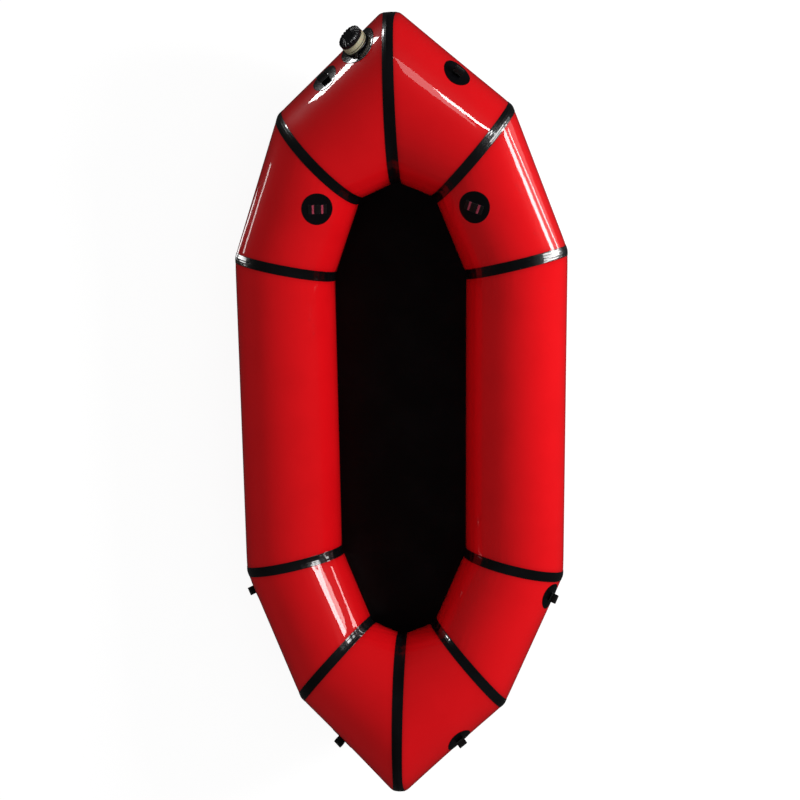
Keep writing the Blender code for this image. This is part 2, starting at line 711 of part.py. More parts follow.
def cap(frame, foot, ceiling):
    """A ribbed screw cap over the mouth, with a domed top."""
    top = ceiling + CAP_TOP_THICKNESS
    shoulder = top - CAP_DOME_HEIGHT
    bore = MOUTH_RADIUS + THREAD_CLEARANCE
    turns = [step * pi / 2 / CAP_DOME_STEPS for step in range(1, CAP_DOME_STEPS)]
    dome = [(CAP_RADIUS * sin(turn), shoulder + CAP_DOME_HEIGHT * cos(turn)) for turn in turns]
    side = [(CAP_RADIUS, shoulder), (CAP_RADIUS, foot), (bore, foot), (bore, ceiling), (0, ceiling)]
    body = turned("valve_cap", [(0, top), *dome, *side], frame, BLACK_PLASTIC, closed=False)
    rib_height = shoulder - foot - 2 * JOINING_INSET
    for index in range(CAP_RIB_COUNT):
        spin = Matrix.Rotation(2 * pi * index / CAP_RIB_COUNT, 4, "Z")
        place = frame @ spin @ Matrix.Translation((CAP_RADIUS, 0, (foot + shoulder) / 2))
        rib = round_cutter(f"cap_rib_{index}", place, CAP_RIB_RADIUS, rib_height, RIB_STEPS)
        add_boolean(body, rib, "UNION")


def raft():
    for side_name in SIDES:
        for panel in PANELS:
            tube_panel(panel, side_name)
        for before, after in zip(list(PANELS), list(PANELS)[1:]):
            seam_tape(before, after, side_name)
        lash_point(side_name)
        for panel in TIE_SHARES:
            tie_point(panel, side_name)
    end_tape("bow", "bow")
    end_tape("stern", "stern")
    floor_sheet()
    floor_edge_tape()
    valve()


raft()
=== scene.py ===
import json
from math import cos, pi, radians, sin

import bpy
import numpy as np
from mathutils import Matrix, Quaternion, Vector


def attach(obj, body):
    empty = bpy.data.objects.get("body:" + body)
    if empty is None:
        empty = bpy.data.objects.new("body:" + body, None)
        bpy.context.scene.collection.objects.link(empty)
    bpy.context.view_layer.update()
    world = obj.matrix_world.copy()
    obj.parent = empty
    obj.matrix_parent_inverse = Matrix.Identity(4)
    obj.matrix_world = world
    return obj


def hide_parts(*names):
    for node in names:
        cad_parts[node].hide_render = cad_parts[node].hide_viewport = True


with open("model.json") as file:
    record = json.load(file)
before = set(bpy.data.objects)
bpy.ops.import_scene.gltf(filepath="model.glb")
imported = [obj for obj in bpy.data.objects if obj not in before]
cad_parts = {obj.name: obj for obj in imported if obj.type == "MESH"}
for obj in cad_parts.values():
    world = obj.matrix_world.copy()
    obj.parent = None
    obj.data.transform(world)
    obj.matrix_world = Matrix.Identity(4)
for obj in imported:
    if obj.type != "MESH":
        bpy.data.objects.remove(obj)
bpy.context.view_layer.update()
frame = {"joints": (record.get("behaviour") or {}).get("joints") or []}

# Tube panels: ten lengths of nylon fabric coated in red polyurethane, welded end to end into one
# closed ring and blown up hard. The skin runs straight from seam to seam, turns over a soft ridge
# at each seam, and is drawn in beside the tapes, with small puckers on the inner side of the bends.
TUBE_RADIUS = 0.148
FABRIC_THICKNESS = 0.0004
END_GAP = 0.0005
RIDGE_ROUNDING = 0.008
NOSE_ROUNDING = 0.009
PINCH_DEPTH = 0.0007
PINCH_REACH = 0.014
PUCKER_HEIGHT = 0.00028
PUCKER_REACH = 0.030
PUCKER_COUNTS = (19, 31, 47)
PANEL_ROWS = 64
ROUND_CELLS = 240
MEAN_GIRTH = 0.95
# A wave texture at scale 1 repeats every 0.314 m
WAVE_PERIOD = 0.314
WEAR_SCALE = 7.0
STRETCH_SCALE = 16.0
SEAM_SHADE_REACH = 0.006
SEAM_SHADE_STRENGTH = 0.7
RED_POLYURETHANE = "E00E16"
RED_WORN = "DA0C14"
RED_SEAM_SHADE = "B50810"

# Where the seams' centres lie (x, y, z) from the middle of the ring, called amidships here, then their
# half width in plan, its bearing and their tilt in degrees
AMIDSHIPS = np.array((0, -0.013938, 0.148789))
SEAMS = {
    "bow": (0, 0.9135, 0.126, 0.231, 90, 18),
    "shoulder": (0.220, 0.767, 0.073, 0.165, 49, 13),
    "front": (0.3485, 0.461, 0, 0.1525, 12.5, 7),
    "rear": (0.344, -0.457, 0, 0.1525, -12.5, 7),
    "quarter": (0.204, -0.753, 0.062, 0.159, -49, 12),
    "stern": (0, -0.888, 0.127, 0.230, -90, 26),
}
# The two noses are cut blunt: how far short of the point the cut starts, and how far round it goes,
# which is three of the solids' sides
NOSE_REACHES = {"bow": 0.032, "stern": 0.026}
SOLID_SIDES = 28
NOSE_SPREAD = 3 * 2 * pi / SOLID_SIDES
PANELS = {
    "bow": ("bow", "shoulder"),
    "shoulder": ("shoulder", "front"),
    "side": ("front", "rear"),
    "quarter": ("rear", "quarter"),
    "stern": ("quarter", "stern"),
}
PANEL_ORDER = list(PANELS)
SEAM_ORDER = list(SEAMS)
SIDES = {"left": -1, "right": 1}
TAPE_WIDTHS = {
    "bow": 0.035,
    "shoulder": 0.031,
    "front": 0.030,
    "rear": 0.030,
    "quarter": 0.031,
    "stern": 0.034,
}


def section(seam, side):
    """Centre, outward and upward directions, and half width of the tube's cut at a seam."""
    x, y, z, half, bearing, tilt = SEAMS[seam]
    bearing, tilt = radians(bearing), radians(tilt)
    fore = 1 if y > 0 else -1
    if x == 0:
        outward = np.array((0, fore * cos(tilt), sin(tilt)))
        upward = np.array((0, -fore * sin(tilt), cos(tilt)))
    else:
        outward = np.array((side * cos(bearing), sin(bearing), 0))
        amidships = fore * np.array((side * sin(bearing), -cos(bearing), 0))
        upward = sin(tilt) * amidships + cos(tilt) * np.array((0, 0, 1))
    return np.array((side * x, y, z)) + AMIDSHIPS, outward, upward, half


def seam_point(seam, side, turn, lift):
    """Points round the tube at a seam. The turn starts on the outer side and goes up over the top."""
    centre, outward, upward, half = section(seam, side)
    slope = np.stack((np.cos(turn) / half, np.sin(turn) / TUBE_RADIUS), -1)
    slope /= np.linalg.norm(slope, axis=-1, keepdims=True)
    across = half * np.cos(turn) + lift * slope[..., 0]
    above = TUBE_RADIUS * np.sin(turn) + lift * slope[..., 1]
    return centre + across[..., None] * outward + above[..., None] * upward


def generator(panel, side, turn, lift):
    """The straight lines of a panel from its fore to its aft seam: start, direction and length."""
    start, end = (seam_point(seam, side, turn, lift + 0 * turn) for seam in PANELS[panel])
    length = np.linalg.norm(end - start, axis=-1)
    return start, (end - start) / length[..., None], length


def panel_ends(panel, side, turn, lift):
    """For the fore and the aft end of a panel's lines: the corner on the seam, the place where the
    skin comes onto the straight line, the distance between them, and the directions of both runs."""
    start, way, length = generator(panel, side, turn, lift)
    found = []
    for seam, tip, own in zip(PANELS[panel], (start, start + way * length[..., None]), (way, -way)):
        if seam in NOSE_REACHES:
            edge = tip + own * NOSE_REACHES[seam]
            off_nose = np.abs((turn + pi) % (2 * pi) - pi) / NOSE_SPREAD
            blunt = np.cos(pi / 2 * np.minimum(off_nose, 1)) ** 2
            corner = tip + blunt[..., None] * (edge * (0, 1, 1) - tip)
            run = np.linalg.norm(edge - corner, axis=-1)
            found.append((corner, edge, run, (edge - corner) / run[..., None], own))
        else:
            found.append((tip, tip, 0 * length, own, own))
    return found


def seam_to_seam(panel, side, turn, lift=0.0):
    """Length of the skin's lines from the fore to the aft seam, over a blunt nose where there is one."""
    fore, aft = panel_ends(panel, side, turn, lift)
    return fore[2] + np.linalg.norm(aft[1] - fore[1], axis=-1) + aft[2]


def beyond(panel, side, ahead, turn, lift):
    """Directions in which the next panel leaves a seam of this one."""
    index = PANEL_ORDER.index(panel) + (-1 if ahead else 1)
    if 0 <= index < len(PANEL_ORDER):
        way = generator(PANEL_ORDER[index], side, turn, lift)[1]
        return -way if ahead else way
    return panel_ends(panel, side, turn, lift)[0 if ahead else 1][3] * (-1, 1, 1)


def gather(seam, side, gap, turn):
    """How far the skin is drawn in beside a seam, with its puckers."""
    off_tape = np.maximum(gap - TAPE_WIDTHS[seam] / 2, 0)
    phase = SEAM_ORDER.index(seam) + (side if SEAMS[seam][0] else 0)
    waves = sum(np.sin(count * turn + count * phase) for count in PUCKER_COUNTS)
    inner = ((1 - np.cos(turn)) / 2) ** 2
    puckers = PUCKER_HEIGHT * waves * inner * np.exp(-off_tape / PUCKER_REACH)
    return puckers - PINCH_DEPTH * np.exp(-off_tape / PINCH_REACH)


def tube_skin(panel, side, reach, turn, lift=0.0):
    """Points of a panel's skin, raised by lift: reach is the distance from the panel's fore seam."""
    fore, aft = PANELS[panel]
    length = seam_to_seam(panel, side, turn)
    share = reach / length
    lift = lift + gather(fore, side, reach, turn) + gather(aft, side, length - reach, turn)
    length = seam_to_seam(panel, side, turn, lift)
    ends = panel_ends(panel, side, turn, lift)
    points = ends[0][1] + ends[0][4] * (share * length - ends[0][2])[..., None]
    for ahead, (corner, edge, run, first, own) in zip((True, False), ends):
        gap = (share if ahead else 1 - share) * length
        points = np.where((gap < run)[..., None], corner + first * gap[..., None], points)
        # A quarter turn of a curve at the edge of a blunt nose, and half of one at the seam's ridge
        off_edge = (gap - run) / NOSE_ROUNDING
        part = ((off_edge + 1) / 2)[..., None]
        bend = edge + NOSE_ROUNDING * (part**2 * own - (1 - part) ** 2 * first)
        points = np.where(((np.abs(off_edge) < 1) & (run > 0))[..., None], bend, points)
        part = ((np.minimum(gap, RIDGE_ROUNDING) / RIDGE_ROUNDING + 1) / 2)[..., None]
        turned = (1 - part) ** 2 * beyond(panel, side, ahead, turn, lift) + part**2 * first
        points = np.where((gap < RIDGE_ROUNDING)[..., None], corner + RIDGE_ROUNDING * turned, points)
    return points


def blank(name, along, across):
    """A flat square of along by across cells, ready to be bent."""
    bpy.ops.object.select_all(action="DESELECT")
    bpy.ops.mesh.primitive_grid_add(x_subdivisions=along, y_subdivisions=across, size=1)
    piece = bpy.context.object
    piece.name = piece.data.name = name
    return piece


def points_of(piece):
    flat = np.empty(3 * len(piece.data.vertices))
    piece.data.vertices.foreach_get("co", flat)
    return flat.reshape(-1, 3)


def move_points(piece, points):
    piece.data.vertices.foreach_set("co", np.asarray(points).ravel())
    piece.data.update()


def lay_weave(piece, metres):
    """Sets the UV map, in metres along and across the cloth, from a pair of numbers for each point."""
    layer = piece.data.uv_layers[0]
    corners = np.empty(len(piece.data.loops), dtype=int)
    piece.data.loops.foreach_get("vertex_index", corners)
    layer.data.foreach_set("uv", metres[corners].ravel())


def in_edit_mode(piece, *steps):
    """Runs edit-mode steps on all of a piece."""
    bpy.ops.object.select_all(action="DESELECT")
    piece.select_set(True)
    bpy.context.view_layer.objects.active = piece
    bpy.ops.object.mode_set(mode="EDIT")
    bpy.ops.mesh.select_all(action="SELECT")
    for step in steps:
        step()
    bpy.ops.object.mode_set(mode="OBJECT")


def weld(piece, distance=0.00001):
    in_edit_mode(piece, lambda: bpy.ops.mesh.remove_doubles(threshold=distance))


def face_away(piece, inside):
    """Turns an open sheet over where it faces a place that lies inside the boat's tube."""
    face = piece.data.polygons[0]
    if face.normal.dot(face.center - Vector(inside)) < 0:
        piece.data.flip_normals()


def apply_modifier(piece, kind, **settings):
    modifier = piece.modifiers.new(kind.lower(), kind)
    for name, value in settings.items():
        setattr(modifier, name, value)
    bpy.context.view_layer.objects.active = piece
    bpy.ops.object.modifier_apply(modifier=modifier.name)


def thicken(piece, thickness, outwards=True, edge=0.0):
    """Gives a sheet its thickness, and breaks its cut edges where an edge radius is given."""
    apply_modifier(
        piece, "SOLIDIFY", thickness=thickness, offset=1 if outwards else -1, use_even_offset=True
    )
    if edge:
        apply_modifier(piece, "BEVEL", width=edge, segments=2, angle_limit=radians(50))


def dress(piece, finish, slot, body, *nodes):
    """Smooth shading, the finish, the body that it rides on and the nodes that it stands for."""
    piece.data.materials.clear()
    piece.data.materials.append(finish)
    bpy.ops.object.select_all(action="DESELECT")
    piece.select_set(True)
    bpy.context.view_layer.objects.active = piece
    bpy.ops.object.shade_smooth_by_angle(angle=radians(38))
    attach(piece, body)
    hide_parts(*nodes)


def linear(code):
    """An sRGB hex colour as linear red, green, blue and alpha."""
    shares = [int(code[place : place + 2], 16) / 255 for place in (0, 2, 4)]
    colour = [share / 12.92 if share <= 0.04045 else ((share + 0.055) / 1.055) ** 2.4 for share in shares]
    return colour + [1]


def new_finish(name):
    finish = bpy.data.materials.new(name)
    finish.use_nodes = True
    return finish, finish.node_tree, finish.node_tree.nodes["Principled BSDF"]


def add(tree, kind, settings, inputs):
    """Adds a node. An input is a value, or a node and the name of its output."""
    node = tree.nodes.new(kind)
    for name, value in settings.items():
        setattr(node, name, value)
    feed(tree, node, inputs)
    return node


def feed(tree, node, inputs):
    for name, value in inputs.items():
        if isinstance(value, tuple) and isinstance(value[0], bpy.types.Node):
            tree.links.new(value[0].outputs[value[1]], node.inputs[name])
        else:
            node.inputs[name].default_value = value


def coated_fabric(
    name,
    base,
    worn,
    seam_shade,
    roughness,
    coat,
    thread,
    weave_depth,
    wave_depth,
    specular,
    ridge_pitch=0.05,
    ridge_depth=0.0,
):
    """Woven cloth under a smooth welded coating: gloss, a faint weave that shows through it, soft
    waves where it stretches, cloudy wear, and a darker, duller margin along the seams. A tape has
    fine ridges along its length too, left by the wheel of the welding machine."""
    finish, tree, shader = new_finish(name)
    uv = add(tree, "ShaderNodeUVMap", {}, {})
    place = add(tree, "ShaderNodeTexCoord", {}, {})
    margin = add(tree, "ShaderNodeAttribute", {"attribute_name": "seam_margin"}, {})
    # Clouds of wear about 140 mm across
    clouds = add(
        tree, "ShaderNodeTexNoise", {}, {"Vector": (place, "Object"), "Scale": WEAR_SCALE, "Detail": 4.0}
    )
    wear = add(
        tree,
        "ShaderNodeMapRange",
        {},
        {"Value": (clouds, "Fac"), "From Min": 0.42, "From Max": 0.72},
    )
    surface = add(
        tree,
        "ShaderNodeMix",
        {"data_type": "RGBA"},
        {"Factor": (wear, "Result"), 6: linear(base), 7: linear(worn)},
    )
    shaded = add(
        tree,
        "ShaderNodeMix",
        {"data_type": "RGBA"},
        {"Factor": (margin, "Fac"), 6: (surface, 2), 7: linear(seam_shade)},
    )
    gloss = add(
        tree,
        "ShaderNodeMapRange",
        {},
        {"Value": (clouds, "Fac"), "To Min": roughness - 0.03, "To Max": roughness + 0.05},
    )
    # One thread of the weave is about 0.35 mm; it is drawn coarser so that a close view shows it
    weft, warp = (
        add(
            tree,
            "ShaderNodeTexWave",
            {"bands_direction": direction},
            {"Vector": (uv, "UV"), "Scale": WAVE_PERIOD / thread, "Distortion": 0.15},
        )
        for direction in ("X", "Y")
    )
    weave = add(
        tree, "ShaderNodeMath", {"operation": "MULTIPLY"}, {0: (weft, "Fac"), 1: (warp, "Fac")}
    )
    # Blown up hard, the cloth keeps low waves about 60 mm long
    stretch = add(
        tree,
        "ShaderNodeTexNoise",
        {},
        {"Vector": (place, "Object"), "Scale": STRETCH_SCALE, "Detail": 1.5, "Roughness": 0.4},
    )
    waves = add(
        tree,
        "ShaderNodeBump",
        {},
        {"Strength": 1.0, "Distance": wave_depth, "Height": (stretch, "Fac")},
    )
    lines = add(
        tree,
        "ShaderNodeTexWave",
        {"bands_direction": "X"},
        {"Vector": (uv, "UV"), "Scale": WAVE_PERIOD / ridge_pitch, "Distortion": 0.6, "Detail": 1.0},
    )
    ridges = add(
        tree,
        "ShaderNodeBump",
        {},
        {
            "Strength": 1.0,
            "Distance": ridge_depth,
            "Height": (lines, "Fac"),
            "Normal": (waves, "Normal"),
        },
    )
    relief = add(
        tree,
        "ShaderNodeBump",
        {},
        {
            "Strength": 1.0,
            "Distance": weave_depth,
            "Height": (weave, "Value"),
            "Normal": (ridges, "Normal"),
        },
    )
    feed(
        tree,
        shader,
        {
            "Base Color": (shaded, 2),
            "Roughness": (gloss, "Result"),
            "Normal": (relief, "Normal"),
            "Coat Weight": coat,
            "Coat Roughness": 0.035,
            "Coat Normal": (ridges, "Normal"),
            "IOR": 1.5,
            "Specular IOR Level": specular,
        },
    )
    return finish


# Nylon under red polyurethane: a clear deep red with a wet-looking gloss
red_fabric = coated_fabric(
    "red polyurethane coated nylon",
    RED_POLYURETHANE,
    RED_WORN,
    RED_SEAM_SHADE,
    roughness=0.36,
    coat=1.0,
    thread=0.0009,
    weave_depth=0.00003,
    wave_depth=0.0006,
    specular=0.08,
)


def mark_margin(piece, margin):
    """Keeps, for each point, how near it is to a seam."""
    attribute = piece.data.attributes.new("seam_margin", "FLOAT", "POINT")
    attribute.data.foreach_set("value", margin)


def inside_of(panel, side):
    return sum(section(seam, side)[0] for seam in PANELS[panel]) / 2


def tube_panel(panel, side_name):
    side = SIDES[side_name]
    name = f"{panel}_panel_{side_name}"
    shell = blank(f"red_{name}", PANEL_ROWS, ROUND_CELLS)
    flat = points_of(shell) + 0.5
    turn = 2 * pi * flat[:, 1]
    length = seam_to_seam(panel, side, turn)
    # Rows lie closer together towards the seams, where the skin curves
    reach = END_GAP + (1 - np.cos(pi * flat[:, 0])) / 2 * (length - 2 * END_GAP)
    move_points(shell, tube_skin(panel, side, reach, turn))
    lay_weave(shell, np.stack((reach, MEAN_GIRTH * flat[:, 1]), -1))
    fore, aft = PANELS[panel]
    off_tape = np.minimum(reach - TAPE_WIDTHS[fore] / 2, length - reach - TAPE_WIDTHS[aft] / 2)
    mark_margin(shell, SEAM_SHADE_STRENGTH * np.exp(-np.maximum(off_tape, 0) / SEAM_SHADE_REACH))
    weld(shell)
    face_away(shell, inside_of(panel, side))
    thicken(shell, FABRIC_THICKNESS, outwards=False)
    dress(shell, red_fabric, "red_tube_fabric", "hull", name)
    return shell


red_panels = {
    (panel, side_name): tube_panel(panel, side_name) for side_name in SIDES for panel in PANELS
}

# Seam tapes: strips of glossy black coated nylon, hot-pressed over each butt seam all round the
# tube. They follow the ridge and the puckers under them, and their cut edges stand a little proud.
TAPE_THICKNESS = 0.0005
TAPE_LIFT = 0.0002
TAPE_CELLS = 20
BLACK_TAPE = "0A0A0C"
BLACK_TAPE_WORN = "121215"

# The same cloth in black, hot-pressed: a hard gloss over fine ridges along the tape
tape_fabric = coated_fabric(
    "black polyurethane coated tape",
    BLACK_TAPE,
    BLACK_TAPE_WORN,
    BLACK_TAPE,
    roughness=0.3,
    coat=1.0,
    thread=0.0011,
    weave_depth=0.00005,
    wave_depth=0.0007,
    specular=0.3,
    ridge_pitch=0.0075,
    ridge_depth=0.00014,
)


def seam_tape(seam, side_name):
    side = SIDES[side_name]
    index = SEAM_ORDER.index(seam)
    # A centre seam joins the port and the starboard panel, the others a panel and the next one aft
    if seam == "bow":
        before, after = ("bow", -1), ("bow", 1)
    elif seam == "stern":
        before, after = ("stern", -1), ("stern", 1)
    else:
        before, after = (PANEL_ORDER[index - 1], side), (PANEL_ORDER[index], side)
    name = f"seam_tape_{seam}" if SEAMS[seam][0] == 0 else f"seam_tape_{seam}_{side_name}"
    tape = blank(f"black_{name}", TAPE_CELLS, ROUND_CELLS)
    flat = points_of(tape)
    off_seam = flat[:, 0] * TAPE_WIDTHS[seam]
    turn = 2 * pi * (flat[:, 1] + 0.5)
    halves = []
    for (panel, hand), gap in ((before, np.maximum(-off_seam, 0)), (after, np.maximum(off_seam, 0))):
        starts_here = PANELS[panel][0] == seam
        length = seam_to_seam(panel, hand, turn)
        halves.append(tube_skin(panel, hand, gap if starts_here else length - gap, turn, TAPE_LIFT))
    move_points(tape, np.where((off_seam < 0)[:, None], *halves))
    lay_weave(tape, np.stack((off_seam, MEAN_GIRTH * flat[:, 1]), -1))
    weld(tape)
    face_away(tape, section(seam, side)[0])
    thicken(tape, TAPE_THICKNESS, edge=0.00015)
    dress(tape, tape_fabric, "black_seam_tape", "hull", name)
    return tape


seam_tapes = {(seam, "right"): seam_tape(seam, "right") for seam in ("bow", "stern")}
for side_name in SIDES:
    for seam in ("shoulder", "front", "rear", "quarter"):
        seam_tapes[seam, side_name] = seam_tape(seam, side_name)

# Floor sheet: one heavier sheet of black coated nylon, drawn tight under the ring and wrapped up
# round the outer side of the tube, where a band of tape closes its edge. It is quieter than the
# tapes: a close, soft sheen that keeps the well of the boat dark.
FLOOR_LIFT = 0.0011
FLOOR_THICKNESS = 0.0008
FLOOR_WRAP = 3 * 2 * pi / SOLID_SIDES
FLOOR_ROWS = 120
FLOOR_FLAT_SHARE = 0.6
FLOOR_CELLS = 40
FLOOR_WAVE_HEIGHT = 0.0016
EDGE_TAPE_WIDTH = 0.028
EDGE_TAPE_LAP = 0.007
EDGE_TAPE_LIFT = 0.0010
EDGE_TAPE_CELLS = 14
BLACK_FLOOR = "0B0A0C"
BLACK_FLOOR_WORN = "111013"

# A thin, dull coating on heavy nylon: the weave shows, and nearly all the light is lost in it
floor_fabric = coated_fabric(
    "black polyurethane coated floor nylon",
    BLACK_FLOOR,
    BLACK_FLOOR_WORN,
    BLACK_FLOOR,
    roughness=0.42,
    coat=0.0,
    thread=0.0014,
    weave_depth=0.00006,
    wave_depth=0.0010,
    specular=0.2,
)


def underside(place, turn, lift):
    """Points on the starboard tube, from the bow to the stern as place goes from 0 to 1."""
    rows = np.clip(place, 0, 1) * len(PANEL_ORDER)
    index = np.minimum(rows.astype(int), len(PANEL_ORDER) - 1)
    share = (1 - np.cos(pi * (rows - index))) / 2
    points = np.zeros((len(place), 3))
    for number, panel in enumerate(PANEL_ORDER):
        here = index == number
        length = seam_to_seam(panel, 1, turn[here])
        points[here] = tube_skin(panel, 1, share[here] * length, turn[here], lift[here])
    return points


def mirror_to_port(piece):
    apply_modifier(piece, "MIRROR", use_mirror_merge=True, merge_threshold=0.00002)
    weld(piece)


def floor_sheet():
    sheet = blank("black_floor_sheet", FLOOR_ROWS, FLOOR_CELLS)
    flat = points_of(sheet) + 0.5
    across = np.minimum(flat[:, 1] / FLOOR_FLAT_SHARE, 1)
    round_tube = np.maximum(flat[:, 1] - FLOOR_FLAT_SHARE, 0) / (1 - FLOOR_FLAT_SHARE)
    turn = 1.5 * pi + FLOOR_WRAP * round_tube
    points = underside(flat[:, 0], turn, np.full(len(flat), FLOOR_LIFT))
    points[:, 0] *= across
    # Slack that lies in low waves inside the cockpit, never under the ground
    x, y = points[:, 0], points[:, 1]
    waves = np.sin(9 * x + 2 * y + 1) * np.sin(7 * y - 4 * x) + 0.5 * np.sin(23 * y + 11 * x)
    open_floor = np.clip(1 - (np.abs(x) / 0.2) ** 4, 0, 1) * np.clip(1 - (y / 0.75) ** 4, 0, 1)
    points[:, 2] += FLOOR_WAVE_HEIGHT * np.maximum(waves, 0) ** 2 * open_floor * (across < 1)
    move_points(sheet, points)
    lay_weave(sheet, points[:, :2] + round_tube[:, None] * (0.08, 0))
    mirror_to_port(sheet)
    face_away(sheet, AMIDSHIPS)
    thicken(sheet, FLOOR_THICKNESS)
    dress(sheet, floor_fabric, "black_floor_fabric", "hull", "floor_sheet")


def floor_edge_tape():
    """Half of the band lies on the sheet, and past the sheet's edge it steps down onto the tube."""
    band = blank("black_floor_edge_tape", FLOOR_ROWS, EDGE_TAPE_CELLS)
    flat = points_of(band) + 0.5
    place = flat[:, 0]
    edge = np.full(len(flat), 1.5 * pi + FLOOR_WRAP)
    step = 0.02
    level = 0 * edge
    metres_per_step = np.linalg.norm(
        underside(place, edge + step, level) - underside(place, edge, level), axis=1
    )
    off_edge = -EDGE_TAPE_LAP + flat[:, 1] * (EDGE_TAPE_LAP + EDGE_TAPE_WIDTH)
    past_sheet = np.clip(off_edge / 0.003, 0, 1)
    over_sheet = FLOOR_LIFT + FLOOR_THICKNESS + 0.0001
    lift = over_sheet * (1 - past_sheet) + EDGE_TAPE_LIFT * past_sheet
    move_points(band, underside(place, edge + off_edge * step / metres_per_step, lift))
    points = points_of(band)
    lay_weave(band, np.stack((points[:, 1], off_edge), -1))
    mirror_to_port(band)
    face_away(band, AMIDSHIPS)
    thicken(band, TAPE_THICKNESS, edge=0.00015)
    dress(band, tape_fabric, "black_seam_tape", "hull", "floor_edge_tape")


floor_sheet()
floor_edge_tape()

# Patches: discs of black coated nylon, welded to the tube under the lash straps, the tie loops and
# the valve. A tie patch has two layers, and the tails of the loop's webbing show as a raised field
# between them on each side of the slot that the loop comes out of.
LASH_PATCH_RADIUS = 0.044
TIE_PATCH_RADIUS = 0.040
VALVE_PATCH_RADIUS = 0.055
VALVE_HOLE_RADIUS = 0.0253
PATCH_THICKNESS = 0.0007
PATCH_LIFT = 0.0002
PATCH_RINGS = 10
TIE_PATCH_RINGS = 26
WEBBING_WIDTH = 0.025
TAIL_LENGTH = 0.023
TAIL_HEIGHT = 0.0006
TAIL_TAPER_SHARE = 0.25
TAIL_SLOPE = 0.004
TAIL_END_SLOPE = 0.005
SLOT_HALF_WIDTH = 0.0032
SLOT_LIPS = (0.0020, 0.0037)
BLACK_PATCH = "070709"
BLACK_PATCH_WORN = "0C0C10"
# Each lash patch: its share of the way along the panel, its turn on the tube and its twist in degrees
LASH_SPOTS = {"left": (0.315, 121.5, 15), "right": (0.352, 118.6, -38)}
TIE_SHARES = {"bow": 0.556, "quarter": 0.15, "stern": 0.43}
TIE_TURNS_DEG = {
    "bow": {"left": 37, "right": 37},
    "quarter": {"left": 5, "right": 33},
    "stern": {"left": 8, "right": 28},
}
VALVE_SPOT = (0.262, 32.1)

# The tapes' cloth in a deeper black, with the same wet gloss
patch_fabric = coated_fabric(
    "black polyurethane coated patch nylon",
    BLACK_PATCH,
    BLACK_PATCH_WORN,
    BLACK_PATCH,
    roughness=0.3,
    coat=0.9,
    thread=0.0011,
    weave_depth=0.00006,
    wave_depth=0.0006,
    specular=0.3,
)


def spot_on(panel, side, share, turn_deg):
    """A place on a panel's skin, with its directions along the tube, round it and out of it."""
    turn = np.array([radians(turn_deg)])
    # The share counts along the straight line, from its point, which a blunt nose falls short of
    nose_run = panel_ends(panel, side, turn, 0.0)[0][2]
    nose_reach = NOSE_REACHES.get(PANELS[panel][0], 0)
    reach = share * generator(panel, side, turn, 0.0)[2] + nose_run - nose_reach
    step = 0.0005
    here = tube_skin(panel, side, reach, turn)[0]
    along = tube_skin(panel, side, reach + step, turn)[0] - here
    around = tube_skin(panel, side, reach, turn + step / TUBE_RADIUS)[0] - here
    out = np.cross(along, around)
    if out.dot(here - inside_of(panel, side)) < 0:
        out = -out
    along, out = along / np.linalg.norm(along), out / np.linalg.norm(out)
    return {
        "panel": panel,
        "side": side,
        "reach": reach[0],
        "turn": turn[0],
        "origin": here,
        "axes": np.array((along, np.cross(out, along), out)),
    }


def drape(spot, pattern, height, twist_deg=0.0):
    """Lays flat pattern points on the tube, seen straight down on the spot, at a height over it."""
    twist = radians(twist_deg)
    pattern = pattern @ np.array(((cos(twist), sin(twist)), (-sin(twist), cos(twist))))
    origin, (along, around, out) = spot["origin"], spot["axes"]
    reach = spot["reach"] + pattern[:, 0]
    turn = spot["turn"] + 0 * reach
    step = 0.0002

    def skin(reach, turn):
        return tube_skin(spot["panel"], spot["side"], reach, turn)

    for _ in range(8):
        here = skin(reach, turn)
        slopes = ((skin(reach + step, turn) - here) / step, (skin(reach, turn + step) - here) / step)
        miss = pattern - np.stack(((here - origin) @ along, (here - origin) @ around), -1)
        a, b = slopes[0] @ along, slopes[1] @ along
        c, d = slopes[0] @ around, slopes[1] @ around
        det = a * d - b * c
        reach = reach + (d * miss[:, 0] - b * miss[:, 1]) / det
        turn = turn + np.clip((a * miss[:, 1] - c * miss[:, 0]) / det, -0.3, 0.3)
    here = skin(reach, turn)
    normal = np.cross(skin(reach + step, turn) - here, skin(reach, turn + step) - here)
    normal /= np.linalg.norm(normal, axis=1, keepdims=True)
    normal *= np.sign(normal @ out)[:, None]
    return here + normal * np.broadcast_to(height, reach.shape)[:, None]


def disc(name, radius, rings, hole=0.0):
    """A flat disc of rings of faces, cut by repeated insets, with a hole where a radius is given."""
    bpy.ops.object.select_all(action="DESELECT")
    bpy.ops.mesh.primitive_circle_add(vertices=96, radius=radius, fill_type="NGON")
    piece = bpy.context.object
    piece.name = piece.data.name = name
    step = (radius - hole) / (rings if hole else rings + 1)
    insets = [lambda: bpy.ops.mesh.inset(thickness=step)] * rings
    last = (lambda: bpy.ops.mesh.delete(type="FACE")) if hole else bpy.ops.mesh.poke
    in_edit_mode(piece, *insets, last)
    return piece


def smooth_step(value, low, high):
    part = np.clip((value - low) / (high - low), 0, 1)
    return part * part * (3 - 2 * part)


